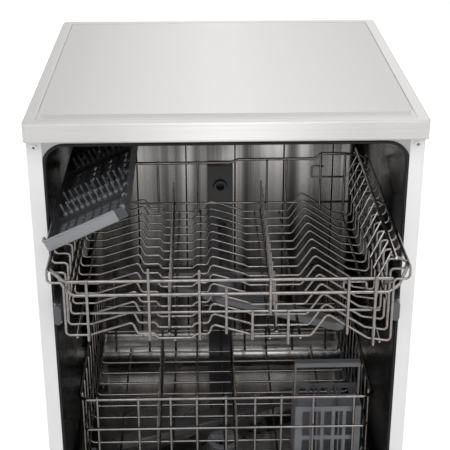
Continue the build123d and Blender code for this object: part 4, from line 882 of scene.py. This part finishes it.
class DISHWASHER_OT_utensil_tray(Operator):
    """Front lip, tines with their round feet, grid pads, rim bumps and rim hooks of the utensil tray."""

    bl_idname = "dishwasher.utensil_tray"
    bl_label = "Utensil tray"

    def execute(self, context):
        made = finishes()
        self.add("tray_lip", self.lip(), made["light"], "light_grey_plastic", crease=50)
        self.add("tray_tines", self.tines(), made["tine"])
        self.add("tray_grid", self.pads(), made["pad"])
        self.add("tray_bumps", self.bumps(), made["tine"])
        self.add("tray_hooks", self.hooks(), made["tine"])
        return {"FINISHED"}

    def add(self, name, shape, material, slot="grey_plastic", crease=40.0):
        """A piece that tips with the tray."""
        piece(name, shape, "utensil_tray", material, crease=crease)

    def lip(self):
        """A flat strip along the front that turns back at the left corner, with a bead on its upper edge."""
        up = TRAY_AXES[:, 2]
        route = on_tray(bent_route([(115.2, -0.1, 7.3), (-2.1, -0.1, 7.3), (-2.1, 17, 7.3)], 6.5))
        out = np.cross(directions(route), up)
        strip = carried(route, rounded_outline(3.0, 18.9, 1.2), out, up)
        bead = carried(route + 8.4 * up - 1.3 * out, rounded_outline(2.6, 1.9, 0.8, 3), out, up)
        return joined([strip, bead])

    def tines(self):
        """Three rows of eleven tines."""
        count, pitch, middle = 11, 9.8, 67.5
        tine = turned(
            [(0, -1.5), (4.0, -1.2), (4.6, 0.8), (4.3, 2.8), (3.2, 4.3), (1.8, 5.2), (1.75, 19.0),
             (1.2, 20.1), (0, 20.4)], sides=12,
        )
        across = middle + pitch * (np.arange(count) - count // 2)
        return placed(tine, on_tray([(x, row, 3.6) for row in (103, 151, 306) for x in across]), TRAY_AXES)

    def pads(self):
        """Pads of the tray's grid, two by two in every opening, each narrower at its top."""
        stack = np.array([(0, 0, -1.6), (0, 0, 0.6), (0, 0, 1.2)])
        outline = rounded_outline(9.4, 11, 2, 3)
        pad = carried(stack, outline, np.array([0, 1.0, 0]), np.array([1.0, 0, 0]))
        pad[0][2 * len(outline) : 3 * len(outline)] *= (0.84, 0.84, 1)
        rows = [v + half for v in (22, 46, 70, 127, 176, 200, 224, 248, 272, 330, 354) for half in (-6, 6)]
        return placed(pad, on_tray([(16.75 + 14.5 * k, v, 0) for v in rows for k in range(8)]), TRAY_AXES)

    def bumps(self):
        """Round bumps on the right rim."""
        bump = turned([(0, -4), (3.4, -3.2), (4.6, 0), (3.8, 2.6), (2.0, 4.2), (0, 4.6)], sides=14)
        along = TRAY_LEAD + np.array([-74, -31, 11, 63, 112, 168, 230, 290])
        return placed(bump, on_tray([(128.0, y, 13.5) for y in along]), TRAY_AXES)

    def hooks(self):
        """Strips bent round the hinge rod on the left: the arc (1 - 6 sin t, 3 + 6 cos t)."""
        radius, outline = 6.0, rounded_outline(13, 2.2, 1.0, 3)
        t = np.linspace(-0.3, 1.0, 8) * math.pi
        along = TRAY_AXES[:, 1]
        hooks = []
        for y in (-30, 38, 103, 160, 262):
            arc = np.stack([1 - radius * np.sin(t), 0 * t + y + TRAY_LEAD, 3 + radius * np.cos(t)], -1)
            route = on_tray(arc)
            hooks.append(carried(route, outline, along, np.cross(directions(route), along)))
        return joined(hooks)


class DISHWASHER_OT_lower_basket(Operator):
    """Bent wires of the lower basket."""

    bl_idname = "dishwasher.lower_basket"
    bl_label = "Lower basket"

    def execute(self, context):
        sizes = context.scene.dishwasher_wires
        finish = finishes()["wire"]
        lap = sizes.wire / MM - WELD
        wall, floor, rim, pitch = 246.5, 172, 330, 40
        hoops = [
            [(-wall, y, rim), (-wall, y, floor), (wall, y, floor), (wall, y, rim)]
            for y in LOWER_FRONT + 22 + pitch * np.arange(11)
        ]
        long_wires = straight(
            [(x, LOWER_FRONT, floor - lap) for x in (-190, -95, -50, 0, 95, 190)], (0, LOWER_DEPTH, 0)
        )
        rings = [self.ring(wall - lap, z) for z in (210, 270)]
        ends = []
        for front, inward in ((LOWER_FRONT, 1), (LOWER_BACK, -1)):
            y, foot = front + inward * lap, front + inward * (lap + 16)
            for x in (-220, -150, -95, -50, 0, 50, 95, 150, 220):
                ends.append([(x, foot, floor - 0.5), (x, y, floor + 2), (x, y, rim + 1)])
        fixed = straight([(-50, LOWER_FRONT + 42 + pitch * i, floor - lap) for i in range(10)], (0, 0, 70))
        shape = joined(
            [wires(hoops + long_wires + rings, sizes.wire), wires(ends, sizes.wire, bend=6),
             wires(fixed, sizes.tine)]
        )
        piece("lower_basket_wires", shape, "lower_rack", finish, ("lower_basket",))
        shape = wires([self.ring(250, rim)], sizes.rim, bend=18)
        piece("lower_basket_rim", shape, "lower_rack", finish)
        return {"FINISHED"}

    def ring(self, half, height):
        """A wire right round the basket, which begins and ends in the middle of its front."""
        return [
            (0, LOWER_FRONT, height), (-half, LOWER_FRONT, height), (-half, LOWER_BACK, height),
            (half, LOWER_BACK, height), (half, LOWER_FRONT, height), (0, LOWER_FRONT, height),
        ]


class DISHWASHER_OT_casing(Operator):
    """Finishes of the frame's nodes that keep their shape."""

    bl_idname = "dishwasher.casing"
    bl_label = "Casing finishes"

    def execute(self, context):
        made = finishes()
        for finish, nodes in NODE_FINISH.items():
            for node in nodes:
                paint(node, made[finish])
        return {"FINISHED"}


class DISHWASHER_OT_worktop(Operator):
    """Front moulding of the worktop, which laps over the board with rounded inner corners."""

    bl_idname = "dishwasher.worktop"
    bl_label = "Worktop moulding"

    def execute(self, context):
        # The rear edge is y = back + r - sqrt(r^2 - d^2), with d the distance past the start of the corner's
        # arc. The section at every x goes up the front, over the top and down the eased rear edge.
        half, radius = 281.9, 16.0
        foot, top = 848.8, 850.0
        front, back = POSTS - 11.2, POSTS + 16
        turn = np.linspace(0, math.pi / 2, 9)
        right = half - radius + radius * np.sin(turn)
        x = np.concatenate([-right[::-1], right])
        d = np.abs(x) - (half - radius)
        rear = back + radius - np.sqrt(np.maximum(radius**2 - d**2, 0))
        section = [(front, foot), (front, top), (rear - 0.6, top), (rear, top - 0.4), (rear, foot)]
        points = np.stack([np.stack(np.broadcast_arrays(x, y, z), -1) for y, z in section], 1)
        rows, columns = points.shape[:2]
        caps = np.array([[0, 2, 1], [0, 3, 2], [0, 4, 3]])
        last = (rows - 1) * columns + caps
        quads = lattice(rows, columns)[:, ::-1]
        shape = points.reshape(-1, 3), quads, np.concatenate([caps[:, ::-1], last])
        piece("worktop_front_moulding", shape, "cabinet", finishes()["silver"])
        return {"FINISHED"}


class DISHWASHER_OT_seal(Operator):
    """Rounded bulb of the door seal, carried round the opening, and the lip of the sill's seal."""

    bl_idname = "dishwasher.seal"
    bl_label = "Door seal"

    def execute(self, context):
        finish = finishes()["rubber"]
        low, top, half, corner, inset = 142.5, 809.4, 277.7, 35.7, 3.0
        y, side, head = POSTS + 6, half - inset, top - inset
        route = bent_route(
            [(-side, y, low), (-side, y, head), (side, y, head), (side, y, low)], corner - inset, steps=14
        )
        # A superellipse, 2.8 mm to each side and 5.2 mm to the front and back, with a groove pressed into
        # its inner face.
        t = np.arange(20) * 2 * math.pi / 20
        bulge = np.sign(np.cos(t)) * np.abs(np.cos(t)) ** 0.7 * 2.8
        depth = np.sign(np.sin(t)) * np.abs(np.sin(t)) ** 0.7 * 5.2
        bulge = bulge + 0.9 * np.exp(-((depth / 1.2) ** 2)) * (bulge < 0)
        outward = np.cross(directions(route), (0, 1, 0))
        shape = carried(route, np.stack([bulge, depth], -1), outward, np.array([0, 1.0, 0]))
        piece("seal_bulb", shape, "cabinet", finish, ("door_seals",))
        sill = np.array([(-272, POSTS - 1, 112.5), (272, POSTS - 1, 112.5)], float)
        lip = [(1.5, -6), (1.5, 6), (0.6, 6.4), (-1.2, 3.6), (-2.2, 0), (-1.2, -5), (0, -6.2)]
        shape = carried(sill, lip, np.array([0, 1.0, 0]), np.array([0, 0, 1.0]))
        piece("sill_seal", shape, "cabinet", finish)
        return {"FINISHED"}


class DISHWASHER_OT_springs(Operator):
    """Coiled door springs with their end hooks and plates, which stand for the plain ones."""

    bl_idname = "dishwasher.springs"
    bl_label = "Door springs"

    def execute(self, context):
        # The coil is (x + r cos t, y rising evenly with t, z + r sin t).
        turns, per_turn, radius, wire = 42, 14, 5.6, 1.2
        height = 52
        t = np.linspace(0, turns * 2 * math.pi, turns * per_turn)
        radial = np.stack([np.cos(t), 0 * t, np.sin(t)], -1)
        ring = np.arange(6) * math.pi / 3
        outline = np.stack([np.cos(ring), np.sin(ring)], -1) * wire
        plate = [(-4, -1.5), (4, -1.5), (4, 1.5), (-4, 1.5)]
        shapes = []
        for x in (-285.9, 285.9):
            y = np.linspace(POSTS + 131, POSTS + 339, len(t))
            coil = np.stack([x + 0 * t, y, height + 0 * t], -1) + radius * radial
            shapes.append(carried(coil, outline, radial, np.cross(directions(coil), radial)))
            for start, end in ((101, 131), (339, 369)):
                route = np.array([(x, POSTS + start, height), (x, POSTS + end, height)], float)
                shapes.append(round_wire(route, 3.0, 10))
            for depth in (98.5, 371.5):
                base = np.array([(x, POSTS + depth, 33), (x, POSTS + depth, 62)], float)
                shapes.append(carried(base, plate, np.array([1.0, 0, 0]), np.array([0, 1.0, 0])))
        piece("spring_coils", joined(shapes), "cabinet", finishes()["spring"], ("door_springs",))
        return {"FINISHED"}


# Stage


class DISHWASHER_OT_stage(Operator):
    """Floor, soft lamps, room light and camera."""

    bl_idname = "dishwasher.stage"
    bl_label = "Stage"

    def execute(self, context):
        look = context.scene.dishwasher_stage
        self.floor(context, look.floor, look.lift)
        target = (0, 0.2, 0.6)
        self.lamp(context, "key_lamp", (0.4, -2.2, 3.0), target, 2.4, look.key)
        self.lamp(context, "left_lamp", (-2.6, -1.6, 1.7), target, 1.8, look.fill)
        self.lamp(context, "right_lamp", (2.6, -1.2, 1.5), target, 1.6, look.fill * 0.8)
        self.lamp(context, "back_lamp", (0.6, 3.0, 2.4), (0, 0.2, 0.5), 2.4, look.fill)
        self.room(context, look.sky)
        self.camera(context)
        context.scene.view_settings.view_transform = "Standard"
        return {"FINISHED"}

    def floor(self, context, colour, lift):
        """A wide floor, to which some white is added where it is seen."""
        r = recipe("stage_floor")
        r.drive(Base_Color=r.shades(r.noise(1.2, detail=2.0), colour, (0.3, 0.99), (0.7, 1.01)))
        fill(r.shader, Roughness=0.7)
        glow = r.add("ShaderNodeEmission")
        r.join(r.times(r.seen(), lift), glow.inputs["Strength"])
        both = r.add("ShaderNodeAddShader")
        r.join(r.shader.outputs["BSDF"], both.inputs[0])
        r.join(glow.outputs["Emission"], both.inputs[1])
        r.join(both.outputs["Shader"], r.tree.nodes["Material Output"].inputs["Surface"])
        half = 9
        mesh = bpy.data.meshes.new("stage_floor")
        corners = [(-half, -half, 0), (half, -half, 0), (half, half, 0), (-half, half, 0)]
        mesh.from_pydata(corners, [], [(0, 1, 2, 3)])
        mesh.materials.append(r.material)
        floor = bpy.data.objects.new("stage_floor", mesh)
        context.scene.collection.objects.link(floor)

    def lamp(self, context, name, place, target, size, power):
        """A square soft lamp that faces its target."""
        data = bpy.data.lights.new(name, "AREA")
        data.size = size
        data.energy = power
        ahead = unit(np.subtract(target, place).astype(float))
        right = unit(np.cross(ahead, (0, 0, 1)))
        self.show(context, name, data, place, right, np.cross(right, ahead), ahead)

    def show(self, context, name, data, place, right, up, ahead):
        """A lamp or camera in the scene, which looks ahead."""
        matrix = np.eye(4)
        matrix[:3, 0], matrix[:3, 1], matrix[:3, 2], matrix[:3, 3] = right, up, -ahead, place
        thing = bpy.data.objects.new(name, data)
        context.scene.collection.objects.link(thing)
        thing.matrix_world = Matrix(matrix.tolist())
        return thing

    def room(self, context, strength):
        """White behind the object, and a room that is brighter overhead for everything else."""
        context.scene.world = bpy.data.worlds.new("room")
        r = Recipe(context.scene.world)
        light = r.tree.nodes["Background"]
        sky = r.colours(r.axes("Generated")["Z"], [(0.2, (0.35, 0.35, 0.36)), (0.9, (1, 1, 1))])
        r.join(sky, light.inputs["Color"])
        fill(light, Strength=strength)
        white = r.add("ShaderNodeBackground")
        fill(white, Color=(1, 1, 1, 1))
        mix = r.add("ShaderNodeMixShader")
        for source, socket in zip((r.seen(), light.outputs[0], white.outputs[0]), mix.inputs):
            r.join(source, socket)
        r.join(mix.outputs["Shader"], r.tree.nodes["World Output"].inputs["Surface"])

    def camera(self, context):
        """The picture's view, from a focal length that was found in pixels of its frame."""
        focal, frame_width = 1137.0, 450
        yaw, pitch, roll = math.radians(1.345), math.radians(24.291), math.radians(-0.099)
        ahead = np.array(
            [math.sin(yaw) * math.cos(pitch), math.cos(yaw) * math.cos(pitch), -math.sin(pitch)]
        )
        level = np.array([math.cos(yaw), -math.sin(yaw), 0])
        over = np.cross(level, ahead)
        right = level * math.cos(roll) + over * math.sin(roll)
        up = -level * math.sin(roll) + over * math.cos(roll)
        data = bpy.data.cameras.new("view")
        data.sensor_width = 36
        data.lens = focal * 36 / frame_width
        data.clip_end = 40
        place = (-0.040, -1.599 + POSTS * MM, 1.3958)
        context.scene.camera = self.show(context, "view", data, place, right, up, ahead)


class DISHWASHER_PT_panel(Panel):
    """Lists the sizes, colours and steps."""

    bl_label = "Dishwasher"
    bl_idname = "DISHWASHER_PT_panel"
    bl_space_type = "VIEW_3D"
    bl_region_type = "UI"
    bl_category = "Dishwasher"

    def draw(self, context):
        for name, group in GROUPS.items():
            box = self.layout.box()
            for key in group.__annotations__:
                box.prop(getattr(context.scene, name), key)
        for step in STEPS:
            self.layout.operator(step.bl_idname)


GROUPS = {
    "dishwasher_wires": WireSizes,
    "dishwasher_finishes": Finishes,
    "dishwasher_stage": StageLook,
}
STEPS = (
    DISHWASHER_OT_casing,
    DISHWASHER_OT_upper_basket,
    DISHWASHER_OT_cup_rack,
    DISHWASHER_OT_tines,
    DISHWASHER_OT_utensil_tray,
    DISHWASHER_OT_lower_basket,
    DISHWASHER_OT_worktop,
    DISHWASHER_OT_seal,
    DISHWASHER_OT_springs,
    DISHWASHER_OT_stage,
)


def register():
    """Register the classes and hang the sizes and colours on the scene."""
    for name, group in GROUPS.items():
        bpy.utils.register_class(group)
        setattr(bpy.types.Scene, name, PointerProperty(type=group))
    for step in (*STEPS, DISHWASHER_PT_panel):
        bpy.utils.register_class(step)


def unregister():
    """Take everything away again."""
    for step in (DISHWASHER_PT_panel, *reversed(STEPS)):
        bpy.utils.unregister_class(step)
    for name, group in reversed(GROUPS.items()):
        delattr(bpy.types.Scene, name)
        bpy.utils.unregister_class(group)


def main():
    """Register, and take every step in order."""
    register()
    for step in STEPS:
        getattr(bpy.ops.dishwasher, step.bl_idname.split(".")[1])()


if __name__ == "__main__":
    main()
